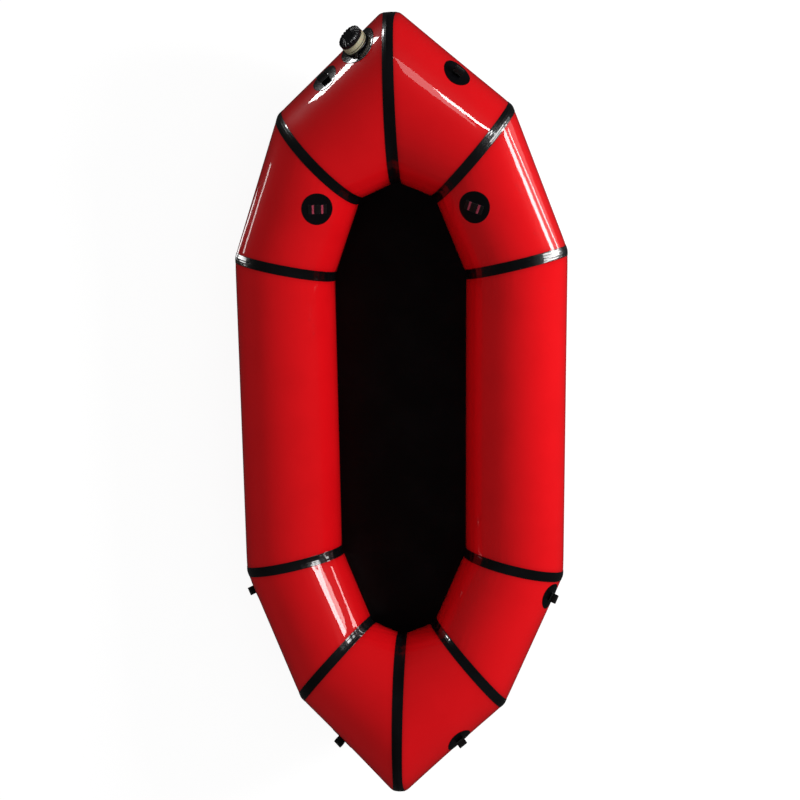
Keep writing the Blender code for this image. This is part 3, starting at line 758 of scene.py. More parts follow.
def patch(name, spot, radius, nodes, rings=PATCH_RINGS, hole=0.0, twist_deg=0.0, tails=False):
    piece = disc(name, radius, rings, hole)
    pattern = points_of(piece)[:, :2]
    height = np.full(len(pattern), PATCH_LIFT)
    if tails:
        along, off = np.abs(pattern[:, 0]), np.abs(pattern[:, 1])
        half_width = WEBBING_WIDTH / 2 - TAIL_TAPER_SHARE * np.maximum(off - SLOT_HALF_WIDTH, 0)
        field = smooth_step(-along, -half_width - TAIL_SLOPE, -half_width)
        field *= smooth_step(-off, -TAIL_LENGTH - TAIL_END_SLOPE, -TAIL_LENGTH)
        field *= smooth_step(off, *SLOT_LIPS)
        height = height + TAIL_HEIGHT * field
    move_points(piece, drape(spot, pattern, height, twist_deg))
    lay_weave(piece, pattern)
    face_away(piece, inside_of(spot["panel"], spot["side"]))
    thicken(piece, PATCH_THICKNESS, edge=0.0002)
    dress(piece, patch_fabric, "black_patch_fabric", "hull", *nodes)
    return piece


lash_spots, tie_spots, tie_patches = {}, {}, {}
for side_name, side in SIDES.items():
    share, turn_deg, twist_deg = LASH_SPOTS[side_name]
    lash_spots[side_name] = spot_on("shoulder", side, share, turn_deg)
    name = f"lash_patch_{side_name}"
    patch(f"black_{name}", lash_spots[side_name], LASH_PATCH_RADIUS, (name,), twist_deg=twist_deg)
    for panel, share in TIE_SHARES.items():
        tie_spots[panel, side_name] = spot_on(panel, side, share, TIE_TURNS_DEG[panel][side_name])
        name = f"tie_patch_{panel}_{side_name}"
        spot = tie_spots[panel, side_name]
        tie_patches[panel, side_name] = patch(
            f"black_{name}", spot, TIE_PATCH_RADIUS, (name,), rings=TIE_PATCH_RINGS, tails=True
        )
valve_spot = spot_on("bow", SIDES["left"], *VALVE_SPOT)
valve_patch = patch(
    "black_valve_patch", valve_spot, VALVE_PATCH_RADIUS, ("valve_patch",), hole=VALVE_HOLE_RADIUS
)

# Lash straps: a short piece of 25 mm black polyester webbing on each forward patch, held by two
# bar tacks of dense red zigzag stitching and slack between them, so that a cord can pass under it.
STRAP_LENGTH = 0.052
WEBBING_THICKNESS = 0.0015
STRAP_LIFT = PATCH_LIFT + PATCH_THICKNESS + 0.0002
STRAP_ARCH = 0.0012
STRAP_CELLS = (24, 52)
TACK_OFFSET = 0.0125
TACK_LENGTH = 0.0240
TACK_WIDTH = 0.0062
TACK_STITCHES = 26
TACK_RUN_SHARES = (-0.45, -0.3, -0.15, 0.0, 0.15, 0.3, 0.45)
TACK_DENT_DEPTH = 0.0003
TACK_DENT_REACH = 0.003
THREAD_RADIUS = 0.00045
PLY_PITCH = 0.0006
RIB_PITCH = 0.0016
PICK_PITCH = 0.0011
# Webbing colours: its black, which also serves as painted shade in the furrows, and a grey that is
# painted sheen on the crowns
WEBBING_BLACK_AND_FURROW_SHADE = "060607"
WEBBING_CROWN_PAINTED_SHEEN = "0D0D0F"
# Thread colours: its satin red, and a darker red that is painted shade in the gaps between the plies
RED_THREAD = "D8607A"
RED_THREAD_GAP_PAINTED_SHADE = "B8455E"


def woven_webbing():
    """Matt polyester yarn with a chevron rib along its length, coloured by the rib's height: black with
    painted shade in the furrows, and a painted grey sheen on the crowns.
    """
    finish, tree, shader = new_finish("black woven polyester webbing")
    uv = add(tree, "ShaderNodeUVMap", {}, {})
    # Ribs 1.6 mm apart along the strap, crossed by weft picks 1.1 mm apart
    ribs, picks = (
        add(
            tree,
            "ShaderNodeTexWave",
            {"bands_direction": direction},
            {"Vector": (uv, "UV"), "Scale": WAVE_PERIOD / pitch, "Distortion": 0.4, "Detail": 1.0},
        )
        for direction, pitch in (("X", RIB_PITCH), ("Y", PICK_PITCH))
    )
    height = add(
        tree, "ShaderNodeMath", {"operation": "MULTIPLY"}, {0: (ribs, "Fac"), 1: (picks, "Fac")}
    )
    # The rib's height paints light and shade: black in the furrows as painted shade, grey on the crowns
    # as painted sheen
    shade = add(
        tree,
        "ShaderNodeMix",
        {"data_type": "RGBA"},
        {"Factor": (height, "Value"), 6: linear(WEBBING_BLACK_AND_FURROW_SHADE), 7: linear(WEBBING_CROWN_PAINTED_SHEEN)},
    )
    relief = add(
        tree, "ShaderNodeBump", {}, {"Strength": 0.9, "Distance": 0.0004, "Height": (height, "Value")}
    )
    feed(
        tree,
        shader,
        {
            "Base Color": (shade, 2),
            "Normal": (relief, "Normal"),
            "Roughness": 0.62,
            "Sheen Weight": 0.15,
            "Sheen Roughness": 0.5,
        },
    )
    return finish


def stitching_thread():
    """Bonded polyester thread: satin red, with painted shade in the gaps between its plies."""
    finish, tree, shader = new_finish("red bonded thread")
    place = add(tree, "ShaderNodeTexCoord", {}, {})
    # Plies of a heavy thread are about 0.3 mm; they are drawn twice as coarse, for a close view
    plies = add(
        tree,
        "ShaderNodeTexWave",
        {"bands_direction": "DIAGONAL"},
        {"Vector": (place, "Object"), "Scale": WAVE_PERIOD / PLY_PITCH, "Distortion": 1.0},
    )
    # The darker red in the gaps between the plies is painted shade
    shade = add(
        tree,
        "ShaderNodeMix",
        {"data_type": "RGBA"},
        {"Factor": (plies, "Fac"), 6: linear(RED_THREAD_GAP_PAINTED_SHADE), 7: linear(RED_THREAD)},
    )
    relief = add(
        tree, "ShaderNodeBump", {}, {"Strength": 0.6, "Distance": 0.0001, "Height": (plies, "Fac")}
    )
    feed(tree, shader, {"Base Color": (shade, 2), "Normal": (relief, "Normal"), "Roughness": 0.5})
    return finish


webbing = woven_webbing()
red_thread = stitching_thread()


def lash_strap(side_name):
    spot, twist_deg = lash_spots[side_name], LASH_SPOTS[side_name][2]
    strap = blank(f"black_lash_strap_{side_name}", *STRAP_CELLS)
    pattern = points_of(strap)[:, :2] * (WEBBING_WIDTH, STRAP_LENGTH)
    off_middle = np.abs(pattern[:, 1])
    arch = np.clip(np.cos(pi * off_middle / (2 * TACK_OFFSET)), 0, 1) * (off_middle < TACK_OFFSET)
    pressed = np.exp(-(((off_middle - TACK_OFFSET) / TACK_DENT_REACH) ** 2))
    height = STRAP_LIFT + STRAP_ARCH * arch + TACK_DENT_DEPTH * (1 - pressed)
    move_points(strap, drape(spot, pattern, height, twist_deg))
    lay_weave(strap, pattern)
    face_away(strap, inside_of("shoulder", spot["side"]))
    thicken(strap, WEBBING_THICKNESS, edge=0.0003)
    dress(strap, webbing, "black_webbing", "hull", f"lash_strap_{side_name}")


def bar_tack(side_name, end, offset):
    """One bar of zigzag stitches over straight runs of the same thread."""
    spot, twist_deg = lash_spots[side_name], LASH_SPOTS[side_name][2]
    count = 2 * TACK_STITCHES
    step = np.arange(count + 1) / count - 0.5
    zigzag = np.stack((TACK_LENGTH * step, TACK_WIDTH / 2 * (-1.0) ** np.arange(count + 1)), -1)
    runs = [zigzag]
    for share in TACK_RUN_SHARES:
        runs.append(np.stack((TACK_LENGTH * step, TACK_WIDTH * share + 0 * step), -1))
    curve = bpy.data.curves.new(f"red_bar_tack_{side_name}_{end}", "CURVE")
    curve.dimensions = "3D"
    curve.bevel_depth = THREAD_RADIUS
    curve.bevel_resolution = 1
    curve.use_fill_caps = True
    for number, run in enumerate(runs):
        top = STRAP_LIFT + WEBBING_THICKNESS + THREAD_RADIUS * (1.0 if number == 0 else 0.4)
        placed = drape(spot, run + (0, offset), top, twist_deg)
        spline = curve.splines.new("POLY")
        spline.points.add(len(placed) - 1)
        for point, place in zip(spline.points, placed):
            point.co = (*place, 1)
    tack = bpy.data.objects.new(curve.name, curve)
    bpy.context.scene.collection.objects.link(tack)
    bpy.ops.object.select_all(action="DESELECT")
    tack.select_set(True)
    bpy.context.view_layer.objects.active = tack
    bpy.ops.object.convert(target="MESH")
    tack = bpy.context.object
    weld(tack, 0.000001)
    dress(tack, red_thread, "red_thread", "hull", f"bar_tack_{side_name}_{end}")


for side_name in SIDES:
    lash_strap(side_name)
    bar_tack(side_name, "outer", -TACK_OFFSET)
    bar_tack(side_name, "inner", TACK_OFFSET)

# Tie loops: 25 mm black webbing folded into a standing teardrop, its two tails sewn between the
# layers of the patch. Most of them lean towards the tube's top, and each flops over to either side.
LOOP_RADIUS = 0.0095
LOOP_REACH = 0.0135
LOOP_BASE_RADIUS = 0.0018
TIE_LEANS_DEG = {
    "bow": {"left": 48, "right": 40},
    "quarter": {"left": 0, "right": 18},
    "stern": {"left": 0, "right": 32},
}
LOOP_CELLS = 72
BAND_CELLS = 14
# The shares of the loop's height over which it widens from its pinched base to its full width
LOOP_WIDENING_SHARES = (-0.12, 0.62)
JOINTS = {joint["name"]: joint for joint in frame["joints"]}


def tie_loop(panel, side_name):
    joint = JOINTS[f"{panel}_{side_name}_loop_flop"]
    hinge, along = np.array(joint["pos_m"]), np.array(joint["axis"])
    out = tie_spots[panel, side_name]["axes"][2]
    out = out - along * out.dot(along)
    out /= np.linalg.norm(out)
    upward = np.cross(out, along)
    upward *= np.sign(upward[2])
    lean = radians(TIE_LEANS_DEG[panel][side_name])
    out = cos(lean) * out + sin(lean) * upward
    across = np.cross(out, along)
    loop = blank(f"black_tie_loop_{panel}_{side_name}", LOOP_CELLS, BAND_CELLS)
    flat = points_of(loop)
    # Round at the top and pinched where the two tails come together at the base
    turn = 2 * pi * flat[:, 0]
    up = (1 + np.cos(turn)) / 2
    width = LOOP_BASE_RADIUS + (LOOP_RADIUS - LOOP_BASE_RADIUS) * smooth_step(up, *LOOP_WIDENING_SHARES)
    height = -LOOP_BASE_RADIUS + up * (LOOP_REACH + LOOP_RADIUS + LOOP_BASE_RADIUS)
    points = hinge + across * (width * np.sin(turn))[:, None] + out * height[:, None]
    move_points(loop, points + along * (flat[:, 1] * WEBBING_WIDTH)[:, None])
    girth = 2 * pi * LOOP_RADIUS
    lay_weave(loop, np.stack((flat[:, 1] * WEBBING_WIDTH, flat[:, 0] * girth), -1))
    weld(loop)
    face_away(loop, hinge + 0.7 * LOOP_REACH * out)
    thicken(loop, WEBBING_THICKNESS, outwards=False, edge=0.0003)
    name = f"{panel}_{side_name}"
    dress(loop, webbing, "black_webbing", f"loop_{name}", f"tie_loop_{name}")


for panel in TIE_SHARES:
    for side_name in SIDES:
        tie_loop(panel, side_name)

# Valve base: the ivory nylon foot of a two-stage inflation valve in the left bow panel. Its flange is
# welded inside the tube, a collar stands over the patch, and its neck has a coarse screw thread.
VALVE_CLEARANCE = 0.0003
THREAD_CLEARANCE = 0.0004
THREAD_DEPTH = 0.0006
THREAD_END = 0.0012
THREAD_ROW = 0.0004
NECK_RADIUS = 0.0250
NECK_BORE_RADIUS = 0.0220
NECK_EDGE = 0.0006
NECK_ENGAGEMENT = 0.0060
NECK_PITCH = 0.0040
NECK_THREAD_MARGIN = 0.0007
FLANGE_RADIUS = 0.0350
FLANGE_DEPTH = 0.0110
FLANGE_THICKNESS = 0.0015
FLANGE_EDGE = 0.0005
COLLAR_RADIUS = 0.0340
COLLAR_FOOT = 0.0051
COLLAR_THICKNESS = 0.0040
COLLAR_EDGE = 0.0008
GASKET_THICKNESS = 0.0012
COLLAR_TOP = COLLAR_FOOT + COLLAR_THICKNESS
RING_FOOT = COLLAR_TOP + GASKET_THICKNESS + 2 * VALVE_CLEARANCE
NECK_TOP = RING_FOOT + NECK_ENGAGEMENT
CAP_CEILING = 0.0347
VALVE_STEPS = 120
# Scuffs about 17 mm across
SCUFF_SCALE = 60.0
IVORY = "BDB698"
IVORY_SHADED = "A8A184"

# The cap's joint stands at its ceiling, so the valve's foot on the patch is found from there
cap_joint = JOINTS["cap_turn"]
valve_axis = np.array(cap_joint["axis"])
valve_foot = np.array(cap_joint["pos_m"]) - CAP_CEILING * valve_axis
valve_along = valve_spot["axes"][0] - valve_axis * valve_spot["axes"][0].dot(valve_axis)
valve_along /= np.linalg.norm(valve_along)
valve_frame = np.array((valve_along, np.cross(valve_axis, valve_along), valve_axis))


def moulded_plastic(name, base, other, roughness, grain, depth):
    """Injection-moulded plastic: a satin skin with a fine spark-eroded grain and slight scuffs."""
    finish, tree, shader = new_finish(name)
    place = add(tree, "ShaderNodeTexCoord", {}, {})
    scuffs = add(
        tree, "ShaderNodeTexNoise", {}, {"Vector": (place, "Object"), "Scale": SCUFF_SCALE, "Detail": 5.0}
    )
    shade = add(
        tree,
        "ShaderNodeMix",
        {"data_type": "RGBA"},
        {"Factor": (scuffs, "Fac"), 6: linear(base), 7: linear(other)},
    )
    dull = add(
        tree,
        "ShaderNodeMapRange",
        {},
        {"Value": (scuffs, "Fac"), "To Min": roughness - 0.08, "To Max": roughness + 0.1},
    )
    # The real grain is about 0.1 mm; it is drawn coarser, for a close view
    erosion = add(
        tree,
        "ShaderNodeTexNoise",
        {},
        {"Vector": (place, "Object"), "Scale": 1 / grain, "Detail": 2.0},
    )
    relief = add(
        tree, "ShaderNodeBump", {}, {"Strength": 0.5, "Distance": depth, "Height": (erosion, "Fac")}
    )
    feed(
        tree,
        shader,
        {
            "Base Color": (shade, 2),
            "Roughness": (dull, "Result"),
            "Normal": (relief, "Normal"),
            "IOR": 1.49,
        },
    )
    return finish


# Unfilled nylon lets a little light in, which softens the edges of the ivory pieces
ivory_plastic = moulded_plastic("ivory moulded nylon", IVORY, IVORY_SHADED, 0.38, 0.0008, 0.00005)
ivory_shader = ivory_plastic.node_tree.nodes["Principled BSDF"]
feed(ivory_plastic.node_tree, ivory_shader, {"Subsurface Weight": 0.08, "Subsurface Scale": 0.003})


def turned(name, profile, closed=True, steps=VALVE_STEPS):
    """A round piece, spun about the valve's axis from (radius, height) points."""
    bpy.ops.object.select_all(action="DESELECT")
    bpy.ops.mesh.primitive_circle_add(vertices=len(profile), radius=1)
    piece = bpy.context.object
    piece.name = piece.data.name = name
    move_points(piece, [(radius, 0, height) for radius, height in profile])
    if not closed:
        ends = {0, len(profile) - 1}
        for edge in piece.data.edges:
            edge.select = set(edge.vertices) == ends
        for vertex in piece.data.vertices:
            vertex.select = vertex.index in ends
        bpy.ops.object.mode_set(mode="EDIT")
        bpy.ops.mesh.delete(type="EDGE")
        bpy.ops.object.mode_set(mode="OBJECT")
    in_edit_mode(
        piece,
        lambda: bpy.ops.mesh.spin(steps=steps, angle=2 * pi, center=(0, 0, 0), axis=(0, 0, 1)),
        lambda: bpy.ops.mesh.select_all(action="SELECT"),
        lambda: bpy.ops.mesh.remove_doubles(threshold=0.000002),
        lambda: bpy.ops.mesh.normals_make_consistent(inside=False),
    )
    return piece


def swell(piece, rule):
    """Moves the points of a turned piece outwards by a rule of radius, angle and height."""
    points = points_of(piece)
    radius = np.hypot(points[:, 0], points[:, 1])
    angle = np.arctan2(points[:, 1], points[:, 0])
    more = rule(radius, angle, points[:, 2])
    scale = 1 + more / np.maximum(radius, 0.000001)
    points[:, :2] *= scale[:, None]
    move_points(piece, points)


def seat(piece):
    """Sets a piece that was made upright on the valve's own axis."""
    move_points(piece, valve_foot + points_of(piece) @ valve_frame)


def rounded(radius, height, size, start, end):
    """Points of a round edge about (radius, height), between two bearings in degrees."""
    return [
        (radius + size * cos(radians(turn)), height + size * sin(radians(turn)))
        for turn in np.linspace(start, end, 4)
    ]


# For each corner of a profile, the bearing at which its quarter round starts and the way to its centre
CORNERS = {
    "top outer": (90, -1, -1),
    "bottom outer": (0, -1, 1),
    "bottom inner": (270, 1, 1),
    "top inner": (180, 1, -1),
}


def corner(which, radius, height, size):
    """Points of a quarter round in place of the sharp corner at (radius, height)."""
    start, across, upward = CORNERS[which]
    return rounded(radius + across * size, height + upward * size, size, start, start - 90)


def thread(foot, top, pitch, depth):
    """A rule for a screw thread between two heights, which fades in and out at its ends."""

    def rule(radius, angle, height):
        wave = 0.5 + 0.5 * np.cos(2 * pi * (height / pitch - angle / (2 * pi)))
        begun = smooth_step(height, foot, foot + THREAD_END)
        not_over = smooth_step(-height, -top, -top + THREAD_END)
        return -depth * wave * begun * not_over

    return rule


def upright(radius, foot, top):
    """Rows of a profile's upright wall, from top to foot, close enough to shape a thread."""
    rows = int((top - foot) / THREAD_ROW + 1.5)
    return [(radius, height) for height in np.linspace(top, foot, rows)]


def valve_base():
    foot, top = COLLAR_TOP + NECK_THREAD_MARGIN, NECK_TOP - NECK_THREAD_MARGIN
    profile = [
        *corner("top outer", NECK_RADIUS, NECK_TOP, NECK_EDGE),
        *upright(NECK_RADIUS, foot, top),
        *corner("top outer", COLLAR_RADIUS, COLLAR_TOP, COLLAR_EDGE),
        *corner("bottom outer", COLLAR_RADIUS, COLLAR_FOOT, COLLAR_EDGE),
        (NECK_RADIUS, COLLAR_FOOT),
        (NECK_RADIUS, -FLANGE_DEPTH),
        *rounded(FLANGE_RADIUS - FLANGE_EDGE, -FLANGE_DEPTH - FLANGE_EDGE, FLANGE_EDGE, 90, -90),
        (NECK_BORE_RADIUS, -FLANGE_DEPTH - FLANGE_THICKNESS),
        (NECK_BORE_RADIUS, NECK_TOP - THREAD_CLEARANCE),
        (NECK_BORE_RADIUS + THREAD_CLEARANCE, NECK_TOP),
    ]
    base = turned("ivory_valve_base", profile)
    screw = thread(foot, NECK_TOP - VALVE_CLEARANCE, NECK_PITCH, THREAD_DEPTH)

    def neck_thread(radius, angle, height):
        on_neck = (np.abs(radius - NECK_RADIUS) < NECK_EDGE - 0.0001) & (height > COLLAR_TOP + NECK_EDGE)
        return np.where(on_neck, screw(radius, angle, height), 0)

    swell(base, neck_thread)
    seat(base)
    dress(base, ivory_plastic, "ivory_plastic", "hull", "valve_base")
    return base


valve_mouldings = [valve_base()]

# Tab ring: a loose ring of black nylon that is caught between the patch and the base's collar. Its
# moulded tab, with grip ridges on both faces, is what the fingers pull on to hold the valve.
TAB_RING_RADIUS = 0.0370
TAB_RING_THICKNESS = 0.0026
TAB_RING_EDGE = 0.0009
TAB_RING_TOP = COLLAR_FOOT - VALVE_CLEARANCE
TAB_RING_FOOT = TAB_RING_TOP - TAB_RING_THICKNESS
TAB_TURN_DEG = 77
TAB_DROOP_DEG = 9
TAB_LENGTH = 0.014
TAB_ROOT = 0.006
TAB_WIDTH = 0.009
TAB_THICKNESS = 0.0022
TAB_CUTS = 6
TAB_TIP_START = TAB_LENGTH / 2 - 0.004
TAB_TIP_SHARE = 0.45
TAB_RIDGE_PITCH = 0.004
TAB_RIDGE_SHARE = 0.25
TAB_RIDGES_START = -0.002
BLACK_MOULDING = "101012"
BLACK_SCUFFED = "1C1C1F"

# Polished moulds leave this nylon shinier than the ivory one, which shows on the ribs of the cap
black_plastic = moulded_plastic(
    "black moulded nylon", BLACK_MOULDING, BLACK_SCUFFED, 0.22, 0.0007, 0.00008
)


def valve_tab_ring():
    profile = [
        *corner("top outer", TAB_RING_RADIUS, TAB_RING_TOP, TAB_RING_EDGE),
        *corner("bottom outer", TAB_RING_RADIUS, TAB_RING_FOOT, TAB_RING_EDGE),
        (NECK_RADIUS + THREAD_CLEARANCE, TAB_RING_FOOT),
        (NECK_RADIUS + THREAD_CLEARANCE, TAB_RING_TOP),
    ]
    ring = turned("black_valve_tab_ring", profile)
    length = TAB_LENGTH + TAB_ROOT
    bpy.ops.object.select_all(action="DESELECT")
    bpy.ops.mesh.primitive_cube_add(size=1)
    tab = bpy.context.object
    in_edit_mode(
        tab,
        lambda: bpy.ops.transform.resize(value=(length, TAB_WIDTH, TAB_THICKNESS)),
        lambda: bpy.ops.mesh.subdivide(number_cuts=TAB_CUTS),
    )
    points = points_of(tab)
    # Rounded in plan at its tip, with grip ridges from near its middle to there
    tip = smooth_step(points[:, 0], TAB_TIP_START, length / 2)
    points[:, 1] *= 1 - TAB_TIP_SHARE * tip**2
    waves = np.cos(2 * pi * points[:, 0] / TAB_RIDGE_PITCH) * (points[:, 0] > TAB_RIDGES_START)
    points[:, 2] *= 1 + TAB_RIDGE_SHARE * waves
    move_points(tab, points)
    apply_modifier(tab, "BEVEL", width=0.0004, segments=2, angle_limit=radians(50))
    tab.data.transform(
        Matrix.Rotation(radians(TAB_TURN_DEG), 4, "Z")
        @ Matrix.Translation((COLLAR_RADIUS, 0, (TAB_RING_FOOT + TAB_RING_TOP) / 2))
        @ Matrix.Rotation(radians(TAB_DROOP_DEG), 4, "Y")
        @ Matrix.Translation((length / 2 - TAB_ROOT + TAB_RING_RADIUS - COLLAR_RADIUS, 0, 0))
    )
    bpy.ops.object.select_all(action="DESELECT")
    tab.select_set(True)
    ring.select_set(True)
    bpy.context.view_layer.objects.active = ring
    bpy.ops.object.join()
    seat(ring)
    dress(ring, black_plastic, "black_plastic", "hull", "valve_tab_ring")
    return ring


valve_mouldings.append(valve_tab_ring())

# Middle ring: the ivory nylon piece that screws onto the base's neck. Fluted grips run round its
# side, its mouth takes the cap's thread, and four spokes inside carry the hub for the flap's stem.
RING_RADIUS = 0.0345
RING_EDGE = 0.0014
RING_STEPS = 240
RING_SIDE_ROWS = 8
WEB_FOOT = NECK_TOP + 0.0010
WEB_TOP = WEB_FOOT + 0.0050
MOUTH_RADIUS = 0.0240
MOUTH_BORE_RADIUS = 0.0200
MOUTH_EDGE = 0.0006
MOUTH_PITCH = 0.0050
MOUTH_TOP = WEB_TOP + 0.0100
FLUTE_COUNT = 40
FLUTE_DEPTH = 0.0005
HUB_RADIUS = 0.0040
HUB_BORE_RADIUS = 0.0018
HUB_EDGE = 0.0004
HUB_STEPS = 48
SPOKE_COUNT = 4
SPOKE_WIDTH = 0.0030
SPOKE_HEIGHT = 0.0040
SPOKE_OVERLAP = 0.0005


def spoke(index):
    """A bevelled bar from the hub to the mouth's wall, let a little into both."""
    length = MOUTH_BORE_RADIUS - HUB_RADIUS + 2 * SPOKE_OVERLAP
    middle = ((HUB_RADIUS + MOUTH_BORE_RADIUS) / 2, 0, (WEB_FOOT + WEB_TOP) / 2)
    place = Matrix.Rotation(index * 2 * pi / SPOKE_COUNT, 4, "Z") @ Matrix.Translation(middle)
    bpy.ops.object.select_all(action="DESELECT")
    bpy.ops.mesh.primitive_cube_add(size=1)
    piece = bpy.context.object
    piece.name = f"spoke_{index}"
    piece.data.transform(place @ Matrix.Diagonal((length, SPOKE_WIDTH, SPOKE_HEIGHT, 1)))
    apply_modifier(piece, "BEVEL", width=0.0003, segments=2)
    return piece


def valve_ring():
    side = np.linspace(WEB_TOP - RING_EDGE, RING_FOOT + RING_EDGE, RING_SIDE_ROWS)
    profile = [
        *corner("top outer", MOUTH_RADIUS, MOUTH_TOP, MOUTH_EDGE),
        *upright(MOUTH_RADIUS, WEB_TOP + 0.0007, MOUTH_TOP - 0.0009),
        (MOUTH_RADIUS + THREAD_CLEARANCE, WEB_TOP),
        *corner("top outer", RING_RADIUS, WEB_TOP, RING_EDGE),
        *((RING_RADIUS, height) for height in side),
        *corner("bottom outer", RING_RADIUS, RING_FOOT, RING_EDGE),
        (NECK_RADIUS + THREAD_CLEARANCE, RING_FOOT),
        (NECK_RADIUS + THREAD_CLEARANCE, WEB_FOOT),
        (MOUTH_BORE_RADIUS, WEB_FOOT),
        (MOUTH_BORE_RADIUS, MOUTH_TOP - MOUTH_EDGE),
        (MOUTH_BORE_RADIUS + MOUTH_EDGE, MOUTH_TOP),
    ]
    ring = turned("ivory_valve_ring", profile, steps=RING_STEPS)
    screw = thread(WEB_TOP + 0.0007, MOUTH_TOP - VALVE_CLEARANCE, MOUTH_PITCH, THREAD_DEPTH)

    def grip_and_thread(radius, angle, height):
        flute = np.clip(np.cos(FLUTE_COUNT * angle), -0.2, 1)
        reach = smooth_step(height, RING_FOOT + 0.0016, RING_FOOT + 0.0031)
        reach *= smooth_step(-height, -WEB_TOP + 0.0015, -WEB_TOP + 0.0029)
        grip = np.where(radius > RING_RADIUS - FLUTE_DEPTH, -FLUTE_DEPTH * flute * reach, 0)
        on_mouth = (np.abs(radius - MOUTH_RADIUS) < 0.0002) & (height > WEB_TOP + THREAD_CLEARANCE)
        return grip + np.where(on_mouth, screw(radius, angle, height), 0)

    swell(ring, grip_and_thread)
    hub_foot, hub_top = WEB_FOOT + HUB_EDGE, WEB_TOP - HUB_EDGE
    hub_profile = [
        *corner("top outer", HUB_RADIUS, hub_top, HUB_EDGE),
        *corner("bottom outer", HUB_RADIUS, hub_foot, HUB_EDGE),
        (HUB_BORE_RADIUS, hub_foot),
        (HUB_BORE_RADIUS, hub_top),
    ]
    hub = turned("hub", hub_profile, steps=HUB_STEPS)
    spokes = [spoke(index) for index in range(SPOKE_COUNT)]
    bpy.ops.object.select_all(action="DESELECT")
    for part in (hub, *spokes, ring):
        part.select_set(True)
    bpy.context.view_layer.objects.active = ring
    bpy.ops.object.join()
    seat(ring)
    dress(ring, ivory_plastic, "ivory_plastic", "middle_ring", "valve_ring")
    return ring


valve_mouldings.append(valve_ring())

# Rubber pieces: one gasket between collar and middle ring, one between mouth and cap, and the round
# one-way flap, which hangs on its stem from the hub. All are moulded in soft black silicone.
GASKET_RADIUS = 0.0330
GASKET_EDGE = 0.0004
FLAP_RADIUS = 0.0208
FLAP_TOP = WEB_FOOT - VALVE_CLEARANCE
FLAP_THICKNESS = 0.0008
FLAP_EDGE = 0.0004
FLAP_TRAVEL = 0.0030
FLAP_STEPS = 72
STEM_RADIUS = 0.0015
STEM_HEAD_RADIUS = 0.0026
STEM_HEAD_FLAT_RADIUS = 0.0018
STEM_HEAD_FOOT = WEB_TOP + FLAP_TRAVEL + VALVE_CLEARANCE
STEM_HEAD_TOP = STEM_HEAD_FOOT + 0.0010
RUBBER = "151515"

# Cast rubber is dull, with hardly any grain
rubber = moulded_plastic("black silicone rubber", RUBBER, BLACK_SCUFFED, 0.6, 0.0012, 0.00004)


def gasket(name, outer, inner, foot, body, node):
    top = foot + GASKET_THICKNESS
    profile = [
        *corner("top outer", outer, top, GASKET_EDGE),
        *corner("bottom outer", outer, foot, GASKET_EDGE),
        *corner("bottom inner", inner, foot, GASKET_EDGE),
        *corner("top inner", inner, top, GASKET_EDGE),
    ]
    piece = turned(name, profile)
    seat(piece)
    dress(piece, rubber, "gasket_rubber", body, node)


def valve_flap():
    profile = [
        (0, STEM_HEAD_TOP),
        (STEM_HEAD_FLAT_RADIUS, STEM_HEAD_TOP),
        *rounded(STEM_HEAD_RADIUS - FLAP_EDGE, STEM_HEAD_TOP - FLAP_EDGE, FLAP_EDGE, 60, -60),
        (STEM_RADIUS, STEM_HEAD_FOOT),
        (STEM_RADIUS, FLAP_TOP),
        (FLAP_RADIUS - FLAP_EDGE, FLAP_TOP),
        (FLAP_RADIUS, FLAP_TOP - 0.0003),
        (FLAP_RADIUS - FLAP_EDGE, FLAP_TOP - FLAP_THICKNESS),
        (0, FLAP_TOP - FLAP_THICKNESS),
    ]
    flap = turned("black_valve_flap", profile, closed=False, steps=FLAP_STEPS)
    seat(flap)
    dress(flap, rubber, "gasket_rubber", "flap", "valve_flap")


ring_gasket_foot, cap_gasket_foot = COLLAR_TOP + VALVE_CLEARANCE, MOUTH_TOP + VALVE_CLEARANCE
ring_gasket_bore = NECK_RADIUS + THREAD_CLEARANCE
gasket("black_ring_gasket", GASKET_RADIUS, ring_gasket_bore, ring_gasket_foot, "ring_seal", "ring_gasket")
valve_flap()
gasket("black_cap_gasket", MOUTH_RADIUS, MOUTH_BORE_RADIUS, cap_gasket_foot, "cap_seal", "cap_gasket")

# Cap: a domed screw cap of black nylon over the mouth. Twenty round grip ribs stand on its side and
# run up onto the dome as knuckles, short of a plain button in the middle.
CAP_RADIUS = 0.0320
CAP_FOOT = WEB_TOP + VALVE_CLEARANCE
CAP_TOP = CAP_CEILING + 0.0060
CAP_SHOULDER = CAP_TOP - 0.0100
CAP_EDGE = 0.0006
CAP_SIDE_ROWS = 8
CAP_DOME_ROWS = 22
CAP_RIB_RADIUS = 0.0019
CAP_RIB_SHARE = 0.42
CAP_KNUCKLE_HEIGHT = 0.0016
CAP_BUTTON_RADIUS = 0.0125
CAP_KNUCKLE_RADIUS = 0.0165
RIB_COUNT = 20
RIB_CELLS = 12


def cap_profile():
    dome = [
        (CAP_RADIUS * sin(turn), CAP_SHOULDER + (CAP_TOP - CAP_SHOULDER) * cos(turn))
        for turn in np.linspace(0, pi / 2, CAP_DOME_ROWS)
    ]
    side = np.linspace(CAP_SHOULDER, CAP_FOOT + CAP_EDGE, CAP_SIDE_ROWS)
    bore = MOUTH_RADIUS + THREAD_CLEARANCE
    return [
        (0, CAP_TOP),
        *dome[1:],
        *((CAP_RADIUS, height) for height in side[1:]),
        (CAP_RADIUS - CAP_EDGE, CAP_FOOT),
        (bore, CAP_FOOT),
        (bore, CAP_CEILING - VALVE_CLEARANCE),
        (MOUTH_BORE_RADIUS, CAP_CEILING),
        (0, CAP_CEILING),
    ]


def rib_crown(angle):
    """How full a rib is at an angle round the cap, from 0 between two ribs to 1 on top of one."""
    off_rib = 1 - np.abs(np.cos(RIB_COUNT * angle / 2))
    return np.sqrt(np.maximum(1 - (off_rib / CAP_RIB_SHARE) ** 2, 0))


